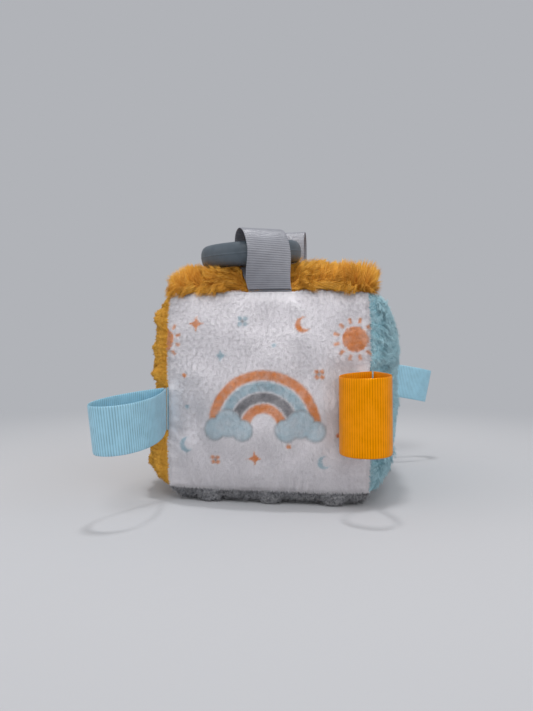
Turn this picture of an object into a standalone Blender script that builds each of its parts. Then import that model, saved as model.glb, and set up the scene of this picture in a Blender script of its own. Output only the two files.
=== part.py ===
"""Soft stuffed play block: six sewn fabric panels round a fibre filling, five ribbon loops
caught in the seams and a teething ring threaded on one of them.

Metres, +Z up, front panel towards -Y. The origin is the centre of the flattened base."""

import math
from dataclasses import dataclass

import bmesh
import bpy
import numpy as np
from mathutils import Matrix, Vector

# The stuffed block, measured from seam to seam
SEWN_WIDTH = 0.105
SEWN_DEPTH = 0.105
SEWN_HEIGHT = 0.1025
BASE_SEAM_HEIGHT = 0.007
TOP_CORNER_SHARE = 0.04
BASE_CORNER_SHARE = 0.015
CORNER_POWER = 4

# How far each panel's backing crowns out past its seams, and its pile beyond that
FRONT_CROWN = 0.010
FRONT_PILE = 0.0015
BACK_CROWN = 0.010
BACK_PILE = 0.0015
LEFT_CROWN = 0.0145
LEFT_PILE = 0.0015
RIGHT_CROWN = 0.012
RIGHT_PILE = 0.005
TOP_CROWN = 0.011
TOP_PILE = 0.0095
TOP_LEAN = 0.2
BOTTOM_CROWN = 0.017
PANEL_FULLNESS = 3.0
LEFT_FULLNESS = 5.0
TOP_FULLNESS = 3.5
BOTTOM_FULLNESS = 5.0
PILE_FULLNESS = 8.0

# Where the pile lies flat beside a ribbon: how far in from the seam, and how softly it ends
PARTING_DEPTH = 0.0155
PARTING_BLEND = 0.0075

# Raised dots of the dimpled cloth, and the tufts of the fur
DOT_PITCH = 0.033
DOT_WIDTH = 0.0125
DOT_HEIGHT = 0.0028
DOT_POWER = 1.4
LEFT_DOT_DEPTH = 0.0
LEFT_DOT_HEIGHT = 0.0812
TUFT_PITCH = 0.034
TUFT_DEPTH = 0.0035
RELIEF_FACETS = 8

# Cloth, seams and filling
BACKING = 0.0015
SEAM_ALLOWANCE = 0.0095
TURNED_EDGE = 0.0017
SEAM_GROOVE = 0.0013
GROOVE_DEPTH = 0.0016
SEAM_GAP = 0.0003
FILLING_GAP = 0.0004
FILLING_SIDE_GAP = 0.0006
PANEL_FACETS = 10
STATION_BEND = 1.2

# Sewing thread in the seam grooves
THREAD_RADIUS = 0.0003
THREAD_INSET = 0.0008
THREAD_END = 0.003
CLOSING_LENGTH = 0.045
CLOSED_SEAM = (0, (1, -1))

# Ribbons and their sewn-in ends
RIBBON_THICKNESS = 0.0005
RIBBON_CLEARANCE = 0.0003
HINGE_PROUD = 0.0002
NARROW_RIBBON = 0.022
WIDE_RIBBON = 0.035
RIBBON_STEPS = 26
OUTLINE_SAMPLES = 400
DROOP_POWER = 1.5
LEAST_OPENING = 0.0003
CUTTER_OVERRUN = 0.003
TWISTED_BY_SHARE = 0.6

# Front left loop
FRONT_LEFT_HEIGHT = 0.0485
FRONT_LEFT_REACH = 0.0515
FRONT_LEFT_SPREAD = 0.0149
FRONT_LEFT_LEAN = -0.0078
FRONT_LEFT_DROOP = 0.0046

# Front right loop
FRONT_RIGHT_HEIGHT = 0.051
FRONT_RIGHT_REACH = 0.029
FRONT_RIGHT_SPREAD = 0.0158
FRONT_RIGHT_LEAN = 0.0012
FRONT_RIGHT_DROOP = 0.0022

# Back right loop
BACK_RIGHT_HEIGHT = 0.060
BACK_RIGHT_REACH = 0.051
BACK_RIGHT_SPREAD = 0.0095
BACK_RIGHT_DROOP = 0.0069

# Top front loop, which carries the ring, and the top back loop
TOP_FRONT_PLACE = 0.0016
TOP_FRONT_REACH = 0.0311
TOP_FRONT_SPREAD = 0.0134
TOP_FRONT_SLANT = -0.0067
TOP_BACK_PLACE = 0.001
TOP_BACK_REACH = 0.051
TOP_BACK_SPREAD = 0.0095

# Teething ring
RING_OUTSIDE = 0.055
RING_BAND = 0.0092
RING_HEIGHT = 0.012
RING_SECTION_POWER = 2.4
RING_STEPS = 28
RING_SIDES = 10
RING_RISE = math.radians(7.5)
RING_ROLL = math.radians(3.0)
RING_SIDE_SHIFT = 0.0091
RING_CARRY = 0.0197
RING_AXIS_INSET = 0.0013
RING_PRESS_GAP = 0.0005
RING_PRESS_MARGIN = 0.0045
RING_PRESS_BLEND = 0.006

# Finishes
CLOTH_ROUGHNESS = 0.95
FIBRE_ROUGHNESS = 1.0
RIBBON_ROUGHNESS = 0.7
THREAD_ROUGHNESS = 0.8
SILICONE_ROUGHNESS = 0.45
SHARP_ANGLE = math.radians(40)

WHITE_PLUSH = (0.80, 0.79, 0.80)
YELLOW_DIMPLED = (0.62, 0.40, 0.07)
TEAL_PLUSH = (0.20, 0.36, 0.43)
MUSTARD_FUR = (0.55, 0.29, 0.05)
GREY_DIMPLED = (0.27, 0.28, 0.30)
FIBRE_WHITE = (0.85, 0.85, 0.84)
THREAD_GREY = (0.75, 0.75, 0.76)
BLUE_RIBBON = (0.25, 0.52, 0.66)
AMBER_RIBBON = (0.78, 0.33, 0.01)
GREY_RIBBON = (0.32, 0.33, 0.37)
SLATE_SILICONE = (0.06, 0.09, 0.11)


@dataclass
class Panel:
    name: str
    axis: int
    side: int
    crown: float
    pile: float
    fullness: float
    colour: tuple
    lean: float = 0.0
    pressed: bool = False
    dots: tuple = ()
    tufted: bool = False


@dataclass
class Loop:
    name: str
    along: int
    sides: tuple
    place: float
    width: float
    reach: float
    spread: float
    roundness: float
    heading: float
    colour: tuple
    lean: float = 0.0
    droop: float = 0.0
    roll: float = 0.0
    twist: float = 0.0
    slant: float = 0.0
    skew: float = 0.0


HALF = np.array([SEWN_WIDTH, SEWN_DEPTH, SEWN_HEIGHT]) / 2
CENTRE = np.array([0.0, 0.0, BASE_SEAM_HEIGHT + SEWN_HEIGHT / 2])
ALLOWANCE_INSET = SEAM_ALLOWANCE / math.sqrt(2)
EDGE_ACROSS = TURNED_EDGE * math.sqrt(2)
GAP_ACROSS = SEAM_GAP / math.sqrt(2)

PANELS = [
    Panel("front_panel", 1, -1, FRONT_CROWN, FRONT_PILE, PANEL_FULLNESS, WHITE_PLUSH),
    Panel("back_panel", 1, 1, BACK_CROWN, BACK_PILE, PANEL_FULLNESS, WHITE_PLUSH),
    Panel(
        name="left_panel",
        axis=0,
        side=-1,
        crown=LEFT_CROWN,
        pile=LEFT_PILE,
        fullness=LEFT_FULLNESS,
        colour=YELLOW_DIMPLED,
        dots=(LEFT_DOT_DEPTH, LEFT_DOT_HEIGHT - CENTRE[2]),
    ),
    Panel("right_panel", 0, 1, RIGHT_CROWN, RIGHT_PILE, PANEL_FULLNESS, TEAL_PLUSH),
    Panel(
        name="top_panel",
        axis=2,
        side=1,
        crown=TOP_CROWN,
        pile=TOP_PILE,
        fullness=TOP_FULLNESS,
        colour=MUSTARD_FUR,
        lean=TOP_LEAN,
        tufted=True,
    ),
    Panel(
        name="bottom_panel",
        axis=2,
        side=-1,
        crown=BOTTOM_CROWN,
        pile=0.0,
        fullness=BOTTOM_FULLNESS,
        colour=GREY_DIMPLED,
        pressed=True,
    ),
]

LOOPS = [
    Loop(
        name="front_left_ribbon_loop",
        along=2,
        sides=(-1, -1),
        place=FRONT_LEFT_HEIGHT - CENTRE[2],
        width=NARROW_RIBBON,
        reach=FRONT_LEFT_REACH,
        spread=FRONT_LEFT_SPREAD,
        roundness=1.45,
        heading=math.radians(264.8),
        lean=FRONT_LEFT_LEAN,
        droop=FRONT_LEFT_DROOP,
        roll=math.radians(-0.3),
        skew=math.radians(12.5),
        colour=BLUE_RIBBON,
    ),
    Loop(
        name="front_right_ribbon_loop",
        along=2,
        sides=(1, -1),
        place=FRONT_RIGHT_HEIGHT - CENTRE[2],
        width=WIDE_RIBBON,
        reach=FRONT_RIGHT_REACH,
        spread=FRONT_RIGHT_SPREAD,
        roundness=1.2,
        heading=math.radians(256),
        lean=FRONT_RIGHT_LEAN,
        droop=FRONT_RIGHT_DROOP,
        roll=math.radians(1.5),
        skew=math.radians(-4),
        colour=AMBER_RIBBON,
    ),
    Loop(
        name="back_right_ribbon_loop",
        along=2,
        sides=(1, 1),
        place=BACK_RIGHT_HEIGHT - CENTRE[2],
        width=NARROW_RIBBON,
        reach=BACK_RIGHT_REACH,
        spread=BACK_RIGHT_SPREAD,
        roundness=1.1,
        heading=math.radians(28.5),
        droop=BACK_RIGHT_DROOP,
        roll=math.radians(3),
        skew=math.radians(11.5),
        colour=BLUE_RIBBON,
    ),
    Loop(
        name="top_front_ribbon_loop",
        along=0,
        sides=(-1, 1),
        place=TOP_FRONT_PLACE,
        width=NARROW_RIBBON,
        reach=TOP_FRONT_REACH,
        spread=TOP_FRONT_SPREAD,
        roundness=0.9,
        heading=math.radians(80),
        twist=math.radians(-24.6),
        slant=TOP_FRONT_SLANT,
        skew=math.radians(5.2),
        colour=GREY_RIBBON,
    ),
    Loop(
        name="top_back_ribbon_loop",
        along=0,
        sides=(1, 1),
        place=TOP_BACK_PLACE,
        width=NARROW_RIBBON,
        reach=TOP_BACK_REACH,
        spread=TOP_BACK_SPREAD,
        roundness=1.2,
        heading=math.radians(88),
        twist=math.radians(4),
        colour=GREY_RIBBON,
    ),
]


def clear_scene():
    for old in list(bpy.data.objects):
        bpy.data.objects.remove(old, do_unlink=True)


def material(name, colour, roughness):
    made = bpy.data.materials.new(name)
    made.use_nodes = True
    shader = made.node_tree.nodes["Principled BSDF"]
    shader.inputs["Base Color"].default_value = (*colour, 1.0)
    shader.inputs["Roughness"].default_value = roughness
    shader.inputs["Metallic"].default_value = 0.0
    return made


def solid(name, points, faces, colour, roughness, origin=(0.0, 0.0, 0.0)):
    """An object of one closed mesh, its faces turned outwards, with its origin where asked."""
    origin = np.array(origin)
    mesh = bpy.data.meshes.new(name)
    mesh.from_pydata([tuple(p) for p in np.asarray(points) - origin], [], faces)
    work = bmesh.new()
    work.from_mesh(mesh)
    bmesh.ops.recalc_face_normals(work, faces=work.faces)
    work.to_mesh(mesh)
    work.free()
    mesh.shade_smooth()
    mesh.set_sharp_from_angle(angle=SHARP_ANGLE)
    mesh.materials.append(material(name, colour, roughness))
    made = bpy.data.objects.new(name, mesh)
    made.location = origin
    bpy.context.scene.collection.objects.link(made)
    return made


def stations():
    """Places across a panel from -1 to 1, closer together towards the seams."""
    turn = np.linspace(-STATION_BEND, STATION_BEND, PANEL_FACETS + 1)
    return np.sin(turn) / math.sin(STATION_BEND)


def relief_stations(half, pitch, start):
    """Even places across a panel, in step with its dots or tufts, and its two ends."""
    step = pitch / RELIEF_FACETS
    first = math.ceil((step / 2 - half - start) / step)
    last = math.floor((half - step / 2 - start) / step)
    places = start + step * np.arange(first, last + 1)
    return np.concatenate([[-1.0], places / half, [1.0]])


def corner_draw(product, height_share):
    """Share of the full size that is left where the corners are drawn in, more at the top."""
    high = (1 + height_share) / 2
    share = TOP_CORNER_SHARE * high + BASE_CORNER_SHARE * (1 - high)
    return 1 - share * np.abs(product) ** CORNER_POWER


def lateral_axes(axis):
    return [other for other in range(3) if other != axis]


def rise(panel, u, v, reach):
    """Crown height: a pillow profile that falls to nothing at all four seams."""
    pillow = (1 - np.abs(u) ** panel.fullness) * (1 - np.abs(v) ** panel.fullness)
    return reach * (1 - panel.lean * u) * pillow


def cover(u, v, thickness):
    """Thickness of the pile: full over the panel, and nothing at its seams."""
    return thickness * (1 - np.abs(u) ** PILE_FULLNESS) * (1 - np.abs(v) ** PILE_FULLNESS)


def dome_height(panel, u, v):
    """Domes on a square lattice with one more in the middle of each square."""
    first, second = lateral_axes(panel.axis)
    near = []
    for shift in (0.0, DOT_PITCH / 2):
        places = []
        for share, axis, start in zip((u, v), (first, second), panel.dots):
            place = share * HALF[axis] - start - shift
            places.append((place + DOT_PITCH / 2) % DOT_PITCH - DOT_PITCH / 2)
        near.append(np.hypot(*places))
    away = np.minimum(*near) / (DOT_WIDTH / 2)
    return DOT_HEIGHT * np.clip(1 - away**2, 0, None) ** DOT_POWER


def tuft_valleys(u, v):
    """Depth of the hollows between the fur's tufts: a sine along each diagonal."""
    x, y = u * HALF[0], v * HALF[1]
    waves = np.sin(2 * math.pi * (x + y) / TUFT_PITCH) * np.sin(2 * math.pi * (x - y) / TUFT_PITCH)
    return TUFT_DEPTH * (1 - waves) / 2


def parting(panel, u, v):
    """Share of the pile that stands: it lies flat where a ribbon comes out of a seam."""
    shares = dict(zip(lateral_axes(panel.axis), (u, v)))
    standing = np.ones(u.shape)
    for loop in LOOPS:
        sides = dict(zip(lateral_axes(loop.along), loop.sides))
        if sides.get(panel.axis) != panel.side:
            continue
        across = next(axis for axis in sides if axis != panel.axis)
        beside = np.abs(shares[loop.along] * HALF[loop.along] - loop.place) - loop.width / 2
        inwards = (1 - sides[across] * shares[across]) * HALF[across] - PARTING_DEPTH
        away = np.maximum(beside, inwards) / PARTING_BLEND
        standing = np.minimum(standing, np.clip(away, 0, 1))
    return standing


def face_height(panel, u, v):
    """Height of a panel's outer face past its seams: its crown, pile, dots and tufts."""
    pile = panel.pile
    if panel.dots:
        pile = pile + dome_height(panel, u, v)
    if panel.tufted:
        pile = pile - tuft_valleys(u, v)
    return rise(panel, u, v, panel.crown) + cover(u, v, pile) * parting(panel, u, v)


def placed(panel, u, v, height, inset, floor=0.0):
    """Points over a panel: height goes out past its seams, inset comes in from its neighbours'.

    A panel that the block stands on is pressed flat at the floor height."""
    first, second = lateral_axes(panel.axis)
    draw = corner_draw(u * v, panel.side if panel.axis == 2 else v)
    points = np.empty(u.shape + (3,))
    points[..., first] = (HALF[first] - inset) * u * draw
    points[..., second] = (HALF[second] - inset) * v * draw
    points[..., panel.axis] = panel.side * (HALF[panel.axis] + height) * draw
    points += CENTRE
    if panel.pressed:
        points[..., 2] = np.maximum(points[..., 2], floor)
    return points


def grid_shares():
    share = stations()
    return np.meshgrid(share, share, indexing="ij")


def border(rows, columns):
    """Grid places once round the edge of a grid, in order."""
    low = [(i, 0) for i in range(rows)]
    right = [(rows, j) for j in range(columns)]
    high = [(i, columns) for i in range(rows, 0, -1)]
    left = [(0, j) for j in range(columns, 0, -1)]
    return low + right + high + left


def grid_faces(rows, columns, start):
    """Quads of a grid of points, numbered row by row from start."""
    number = start + np.arange((rows + 1) * (columns + 1)).reshape(rows + 1, columns + 1)
    corners = [number[:-1, :-1], number[1:, :-1], number[1:, 1:], number[:-1, 1:]]
    return np.stack(corners, axis=-1).reshape(-1, 4).tolist()


def band_faces(first, second):
    """Quads between two rings of vertex numbers of the same length."""
    count = len(first)
    return [
        (first[k], first[(k + 1) % count], second[(k + 1) % count], second[k]) for k in range(count)
    ]


def border_ring(panel, height, inset):
    """The points once round a panel's edge, at one height and one inset."""
    u, v = grid_shares()
    places = border(PANEL_FACETS, PANEL_FACETS)
    ring_u = np.array([u[place] for place in places])
    ring_v = np.array([v[place] for place in places])
    return placed(panel, ring_u, ring_v, np.full(ring_u.shape, height), inset)


def border_lengths(first, second):
    """How far round the edge each border place of a grid lies, one for each side."""
    first, second = (first + 1) / 2, (second + 1) / 2
    sides = [first[:-1], 1 + second[:-1], 3 - first[:0:-1], 4 - second[:0:-1]]
    return np.append(np.concatenate(sides), 4.0)


def under_ring(points):
    """The same points, pressed down where the ring lies on them."""
    turn, centre = ring_frame(ring_loop())[1:]
    away = points - np.array(centre)
    axis = np.array(turn.col[2])
    high = away @ axis
    beside = np.linalg.norm(away - high[..., None] * axis, axis=-1) - RING_OUTSIDE / 2
    share = np.clip(1 - (beside - RING_PRESS_MARGIN) / RING_PRESS_BLEND, 0, 1)
    sunk = np.maximum(high + RING_HEIGHT / 2 + RING_PRESS_GAP, 0) * share
    return points - sunk[..., None] * axis


def joining_faces(one, one_at, other, other_at):
    """Triangles between two closed rings of unlike counts, each with its lengths round."""
    faces = []
    i = j = 0
    while i < len(one) or j < len(other):
        if j == len(other) or (i < len(one) and one_at[i + 1] <= other_at[j + 1]):
            faces.append((one[i], one[(i + 1) % len(one)], other[j % len(other)]))
            i += 1
        else:
            faces.append((one[i % len(one)], other[(j + 1) % len(other)], other[j]))
            j += 1
    return faces


def outer_stations(panel):
    """Where an outer face has its points, in step with its dots or tufts where it has them."""
    halves = [HALF[axis] for axis in lateral_axes(panel.axis)]
    if panel.dots:
        return [relief_stations(half, DOT_PITCH, at) for half, at in zip(halves, panel.dots)]
    if panel.tufted:
        return [relief_stations(half, TUFT_PITCH, 0.0) for half in halves]
    return [stations(), stations()]


def make_panel(panel):
    """Outer face, the groove at its seams, the seam allowance turned inwards, then the inner face."""
    first, second = outer_stations(panel)
    outer_u, outer_v = np.meshgrid(first, second, indexing="ij")
    outer = placed(panel, outer_u, outer_v, face_height(panel, outer_u, outer_v), SEAM_GROOVE)
    if panel.tufted:
        outer = under_ring(outer)
    rows, columns = len(first) - 1, len(second) - 1
    outer_edge = [i * (columns + 1) + j for i, j in border(rows, columns)]
    u, v = grid_shares()
    row = PANEL_FACETS + 1
    edge = [i * row + j for i, j in border(PANEL_FACETS, PANEL_FACETS)]
    inner_inset = BACKING + GAP_ACROSS + EDGE_ACROSS
    inner_height = rise(panel, u, v, panel.crown) - BACKING
    inner = placed(panel, u, v, inner_height, inner_inset, BACKING)
    rings = [
        border_ring(panel, -GROOVE_DEPTH, GROOVE_DEPTH + GAP_ACROSS),
        border_ring(panel, -ALLOWANCE_INSET, ALLOWANCE_INSET + GAP_ACROSS),
        border_ring(panel, -ALLOWANCE_INSET, ALLOWANCE_INSET + GAP_ACROSS + EDGE_ACROSS),
    ]
    points = np.concatenate([outer.reshape(-1, 3), inner.reshape(-1, 3), *rings])
    inner_start = outer_u.size
    ring_start = inner_start + u.size
    loops = [[ring_start + k * len(edge) + i for i in range(len(edge))] for k in range(len(rings))]
    loops.append([inner_start + number for number in edge])
    faces = grid_faces(rows, columns, 0) + grid_faces(PANEL_FACETS, PANEL_FACETS, inner_start)
    outer_at = border_lengths(first, second)
    faces += joining_faces(outer_edge, outer_at, loops[0], border_lengths(stations(), stations()))
    for near, far in zip(loops, loops[1:]):
        faces += band_faces(near, far)
    return solid(panel.name, points, faces, panel.colour, CLOTH_ROUGHNESS)


def make_filling():
    """One body of fibre: a crowned pad behind each panel, with a groove for each seam allowance."""
    row = PANEL_FACETS + 1
    size = row * row
    inset = GAP_ACROSS + EDGE_ACROSS + FILLING_SIDE_GAP
    points, faces, seams, corners = [], [], {}, {}
    start = 0
    for panel in PANELS:
        u, v = grid_shares()
        depth = BACKING + FILLING_GAP
        height = rise(panel, u, v, panel.crown) - depth
        points.append(placed(panel, u, v, height, depth + inset, depth).reshape(-1, 3))
        points.append(border_ring(panel, -ALLOWANCE_INSET, ALLOWANCE_INSET + inset))
        places = border(PANEL_FACETS, PANEL_FACETS)
        foot = list(range(start + size, start + size + len(places)))
        faces += grid_faces(PANEL_FACETS, PANEL_FACETS, start)
        faces += band_faces([start + i * row + j for i, j in places], foot)
        keys = [block_place(panel, place) for place in places]
        for k, key in enumerate(keys):
            following = (k + 1) % len(keys)
            pair = frozenset((key, keys[following]))
            seams.setdefault(pair, []).append({key: foot[k], keys[following]: foot[following]})
            if all(step in (0, PANEL_FACETS) for step in key):
                corners.setdefault(key, []).append(foot[k])
        start += size + len(places)
    for pair, (one, other) in seams.items():
        low, high = tuple(pair)
        faces.append((one[low], one[high], other[high], other[low]))
    faces += [tuple(found) for found in corners.values() if len(found) == 3]
    return solid("fibre_filling", np.concatenate(points), faces, FIBRE_WHITE, FIBRE_ROUGHNESS)


def block_place(panel, place):
    """A grid place on a panel as a step number along X, Y and Z of the whole block."""
    found = [0, 0, 0]
    for axis, step in zip(lateral_axes(panel.axis), place):
        found[axis] = step
    found[panel.axis] = PANEL_FACETS if panel.side > 0 else 0
    return tuple(found)


def seam_point(along, sides, place, inset):
    """A point on the seam that runs along one axis, inset towards the middle of the block."""
    first, second = lateral_axes(along)
    share = place / HALF[along]
    draw = corner_draw(share, share if along == 2 else sides[1])
    point = np.zeros(3)
    point[along] = place
    point[first] = sides[0] * (HALF[first] - inset) * draw
    point[second] = sides[1] * (HALF[second] - inset) * draw
    return point + CENTRE


def outward(loop):
    """Unit vector out of a loop's seam, midway between its two panels."""
    first, second = lateral_axes(loop.along)
    way = np.zeros(3)
    way[first], way[second] = loop.sides
    return way / np.linalg.norm(way)


def hinge_point(loop):
    return seam_point(loop.along, loop.sides, loop.place, 0.0) + HINGE_PROUD * outward(loop)


def loop_frame(loop):
    """Directions of reach, of the opening between the two legs and of the ribbon's width."""
    first, second = lateral_axes(loop.along)
    reach, width = np.zeros(3), np.zeros(3)
    reach[first], reach[second] = math.cos(loop.heading), math.sin(loop.heading)
    width[loop.along] = 1.0
    return reach, np.cross(width, reach), width


def loop_outlines(loop):
    """Inner and outer outline of the folded ribbon in reach and opening.

    The reach is half of one minus cosine of the turn, and the opening is its sine times a
    power of the sine of half the turn, so both legs start together at the seam."""
    turn = np.linspace(0, 2 * math.pi, OUTLINE_SAMPLES)
    wave = np.sin(turn) * np.sin(turn / 2) ** loop.roundness
    first = turn[np.argmax(loop.spread * wave > LEAST_OPENING)]
    turn = first + (2 * math.pi - 2 * first) * np.arange(RIBBON_STEPS) / RIBBON_STEPS
    reach = loop.reach * (1 - np.cos(turn)) / 2
    opening = loop.spread * np.sin(turn) * np.sin(turn / 2) ** loop.roundness
    inner = np.stack([reach, opening], axis=1)
    inner[0, 1] = 0.0
    ahead = np.roll(inner, -1, axis=0) - np.roll(inner, 1, axis=0)
    normal = np.stack([-ahead[:, 1], ahead[:, 0]], axis=1)
    normal /= np.linalg.norm(normal, axis=1)[:, None]
    outer = inner + RIBBON_THICKNESS * normal
    outer[0] = (-RIBBON_THICKNESS, 0.0)
    return inner, outer


def carried(loop, outline, across):
    """Outline points in space at one place across the ribbon.

    The lean, droop, roll, twist, slant and skew all grow from nothing at the seam."""
    ahead, apart, width = loop_frame(loop)
    share = np.clip(outline[:, 0] / loop.reach, 0, 1)
    lean = outline[:, 1] + loop.lean * share**2
    turned = np.clip(share / TWISTED_BY_SHARE, 0, 1)
    turn = loop.roll * share + loop.twist * np.sin(turned * math.pi / 2)
    if loop.along == 2:
        side = lean * np.cos(turn) - across * np.sin(turn)
        wide = lean * np.sin(turn) + across * np.cos(turn)
    else:
        side = lean * np.cos(turn) + across * np.sin(turn)
        wide = across * np.cos(turn) - lean * np.sin(turn)
    wide = wide + loop.slant * share
    reach = outline[:, 0] + across * math.sin(loop.skew) * share
    points = reach[:, None] * ahead + side[:, None] * apart + wide[:, None] * width
    points[:, 2] -= loop.droop * share**DROOP_POWER
    return points + hinge_point(loop)


def make_loop(loop):
    """The free part of a ribbon: one folded strip that ends at its seam."""
    inner, outer = loop_outlines(loop)
    half = loop.width / 2
    rings = [carried(loop, line, side * half) for side in (1, -1) for line in (outer, inner)]
    numbers = [list(range(k * RIBBON_STEPS, (k + 1) * RIBBON_STEPS)) for k in range(4)]
    outer_high, inner_high, outer_low, inner_low = numbers
    faces = band_faces(outer_high, outer_low) + band_faces(inner_high, inner_low)
    faces += band_faces(outer_high, inner_high) + band_faces(outer_low, inner_low)
    points = np.concatenate(rings)
    return solid(loop.name, points, faces, loop.colour, RIBBON_ROUGHNESS, hinge_point(loop))


def seam_box(name, loop, thickness, width, start, end, colour):
    """A box that lies in a loop's seam, from one depth below the hinge to another."""
    out = Vector(outward(loop))
    width_way = Vector(loop_frame(loop)[2])
    frame = Matrix((out.cross(width_way), width_way, out)).transposed()
    size = np.array([thickness, width, end - start]) / 2
    corners = [(i, j, k) for i in (-1, 1) for j in (-1, 1) for k in (-1, 1)]
    middle = Vector(hinge_point(loop)) - out * (start + end) / 2
    points = [middle + frame @ Vector(size * corner) for corner in corners]
    faces = [(0, 1, 3, 2), (4, 6, 7, 5), (0, 4, 5, 1), (2, 3, 7, 6), (0, 2, 6, 4), (1, 5, 7, 3)]
    return solid(name, [tuple(p) for p in points], faces, colour, RIBBON_ROUGHNESS)


def make_tail(loop):
    """The two ends of a ribbon, laid together and caught between the seam allowances."""
    start = RIBBON_THICKNESS + RIBBON_CLEARANCE
    name = loop.name.replace("loop", "sewn_end")
    return seam_box(
        name, loop, 2 * RIBBON_THICKNESS, loop.width, start, SEAM_ALLOWANCE, loop.colour
    )


def cut_slots(loop, panels):
    """Room for a ribbon's ends in the seam allowances of the two panels that it lies between."""
    cutter = seam_box(
        loop.name + "_slot",
        loop,
        2 * (RIBBON_THICKNESS + RIBBON_CLEARANCE),
        loop.width + 2 * RIBBON_CLEARANCE,
        -CUTTER_OVERRUN,
        SEAM_ALLOWANCE + CUTTER_OVERRUN,
        loop.colour,
    )
    cutter.hide_render = True
    cutter.display_type = "WIRE"
    for axis, side in zip(lateral_axes(loop.along), loop.sides):
        panel = next(p for p in PANELS if (p.axis, p.side) == (axis, side))
        cut = panels[panel.name].modifiers.new(loop.name, "BOOLEAN")
        cut.operation = "DIFFERENCE"
        cut.object = cutter


def seam_name(along, sides):
    """The two panels that a seam joins, in words."""
    words = [("left", "right"), ("front", "back"), ("bottom", "top")]
    found = {axis: words[axis][side > 0] for axis, side in zip(lateral_axes(along), sides)}
    return "_".join(found[axis] for axis in (2, 1, 0) if axis in found)


def make_thread(name, along, sides, start, end):
    """One length of thread between two places on a seam, through the panels' own stations."""
    between = [place for place in stations() * HALF[along] if start < place < end]
    places = [start, *between, end]
    curve = bpy.data.curves.new(name, "CURVE")
    curve.dimensions = "3D"
    curve.bevel_depth = THREAD_RADIUS
    curve.bevel_resolution = 0
    curve.use_fill_caps = True
    curve.materials.append(material(name, THREAD_GREY, THREAD_ROUGHNESS))
    line = curve.splines.new("POLY")
    line.points.add(len(places) - 1)
    for point, place in zip(line.points, places):
        point.co = (*seam_point(along, sides, place, THREAD_INSET), 1.0)
    made = bpy.data.objects.new(name, curve)
    bpy.context.scene.collection.objects.link(made)


def make_threads():
    """Machine stitching along every seam, stopping at the ribbons, and the hand-closed gap."""
    room = 2 * RIBBON_CLEARANCE + THREAD_RADIUS
    for along in range(3):
        limit = HALF[along] - THREAD_END
        for sides in [(-1, -1), (-1, 1), (1, -1), (1, 1)]:
            breaks = [
                (loop.place - loop.width / 2 - room, loop.place + loop.width / 2 + room)
                for loop in LOOPS
                if (loop.along, loop.sides) == (along, sides)
            ]
            if (along, sides) == CLOSED_SEAM:
                half = CLOSING_LENGTH / 2
                make_thread("closing_stitch_thread", along, sides, -half, half)
                breaks.append((-half - SEAM_GAP, half + SEAM_GAP))
            ends = [-limit, *(place for pair in breaks for place in pair), limit]
            name = seam_name(along, sides) + "_seam_thread"
            for number, (start, end) in enumerate(zip(ends[::2], ends[1::2]), 1):
                part = f"{name}_{number}" if breaks else name
                make_thread(part, along, sides, start, end)


def ring_loop():
    """The loop that carries the ring."""
    return next(loop for loop in LOOPS if loop.name == "top_front_ribbon_loop")


def ring_frame(loop):
    """The point that the ring swings about inside its loop, the ring's own turn and its centre."""
    ahead, _, width = (Vector(way) for way in loop_frame(loop))
    carry = Vector(hinge_point(loop)) + ahead * RING_CARRY
    carry += width * loop.slant * RING_CARRY / loop.reach
    turn = Matrix.Rotation(RING_RISE, 3, "X") @ Matrix.Rotation(-RING_ROLL, 3, "Y")
    radius = (RING_OUTSIDE - RING_BAND) / 2 - RING_AXIS_INSET
    back = math.sqrt(radius**2 - RING_SIDE_SHIFT**2)
    centre = carry + turn @ Vector((-RING_SIDE_SHIFT, back, 0.0))
    return carry, turn, centre


def make_ring(loop):
    """A turned ring with a rounded band: a superellipse section carried round a circle."""
    carry, turn, centre = ring_frame(loop)
    radius = (RING_OUTSIDE - RING_BAND) / 2
    around = np.arange(RING_STEPS) * 2 * math.pi / RING_STEPS
    section = np.arange(RING_SIDES) * 2 * math.pi / RING_SIDES
    share = 2 / RING_SECTION_POWER
    out = RING_BAND / 2 * np.sign(np.cos(section)) * np.abs(np.cos(section)) ** share
    high = RING_HEIGHT / 2 * np.sign(np.sin(section)) * np.abs(np.sin(section)) ** share
    flat = (radius + out)[None, :]
    points = np.stack(
        [
            flat * np.cos(around)[:, None],
            flat * np.sin(around)[:, None],
            np.broadcast_to(high, (RING_STEPS, RING_SIDES)),
        ],
        axis=-1,
    ).reshape(-1, 3)
    points = points @ np.array(turn).T + np.array(centre)
    faces = []
    for i in range(RING_STEPS):
        here = [i * RING_SIDES + j for j in range(RING_SIDES)]
        there = [(i + 1) % RING_STEPS * RING_SIDES + j for j in range(RING_SIDES)]
        faces += band_faces(here, there)
    finish = (SLATE_SILICONE, SILICONE_ROUGHNESS)
    return solid("teething_ring", points, faces, *finish, origin=tuple(carry))


def main():
    clear_scene()
    panels = {panel.name: make_panel(panel) for panel in PANELS}
    make_filling()
    for loop in LOOPS:
        make_loop(loop)
        make_tail(loop)
        cut_slots(loop, panels)
    make_threads()
    make_ring(ring_loop())


main()
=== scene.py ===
"""Soft fabric block, dressed: six sewn panels with their pile, five grosgrain loops, the seam
stitching, the fibre filling and a silicone ring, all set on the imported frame.

Metres, +Z up, front panel towards -Y, as in the frame. A panel's surface is a function of two
shares, u and v, that run from -1 to 1 between its seams."""

import math
from dataclasses import dataclass

import bmesh
import bpy
import numpy as np
from bpy.props import FloatProperty, FloatVectorProperty, IntProperty, PointerProperty
from mathutils import Matrix, Vector


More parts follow.
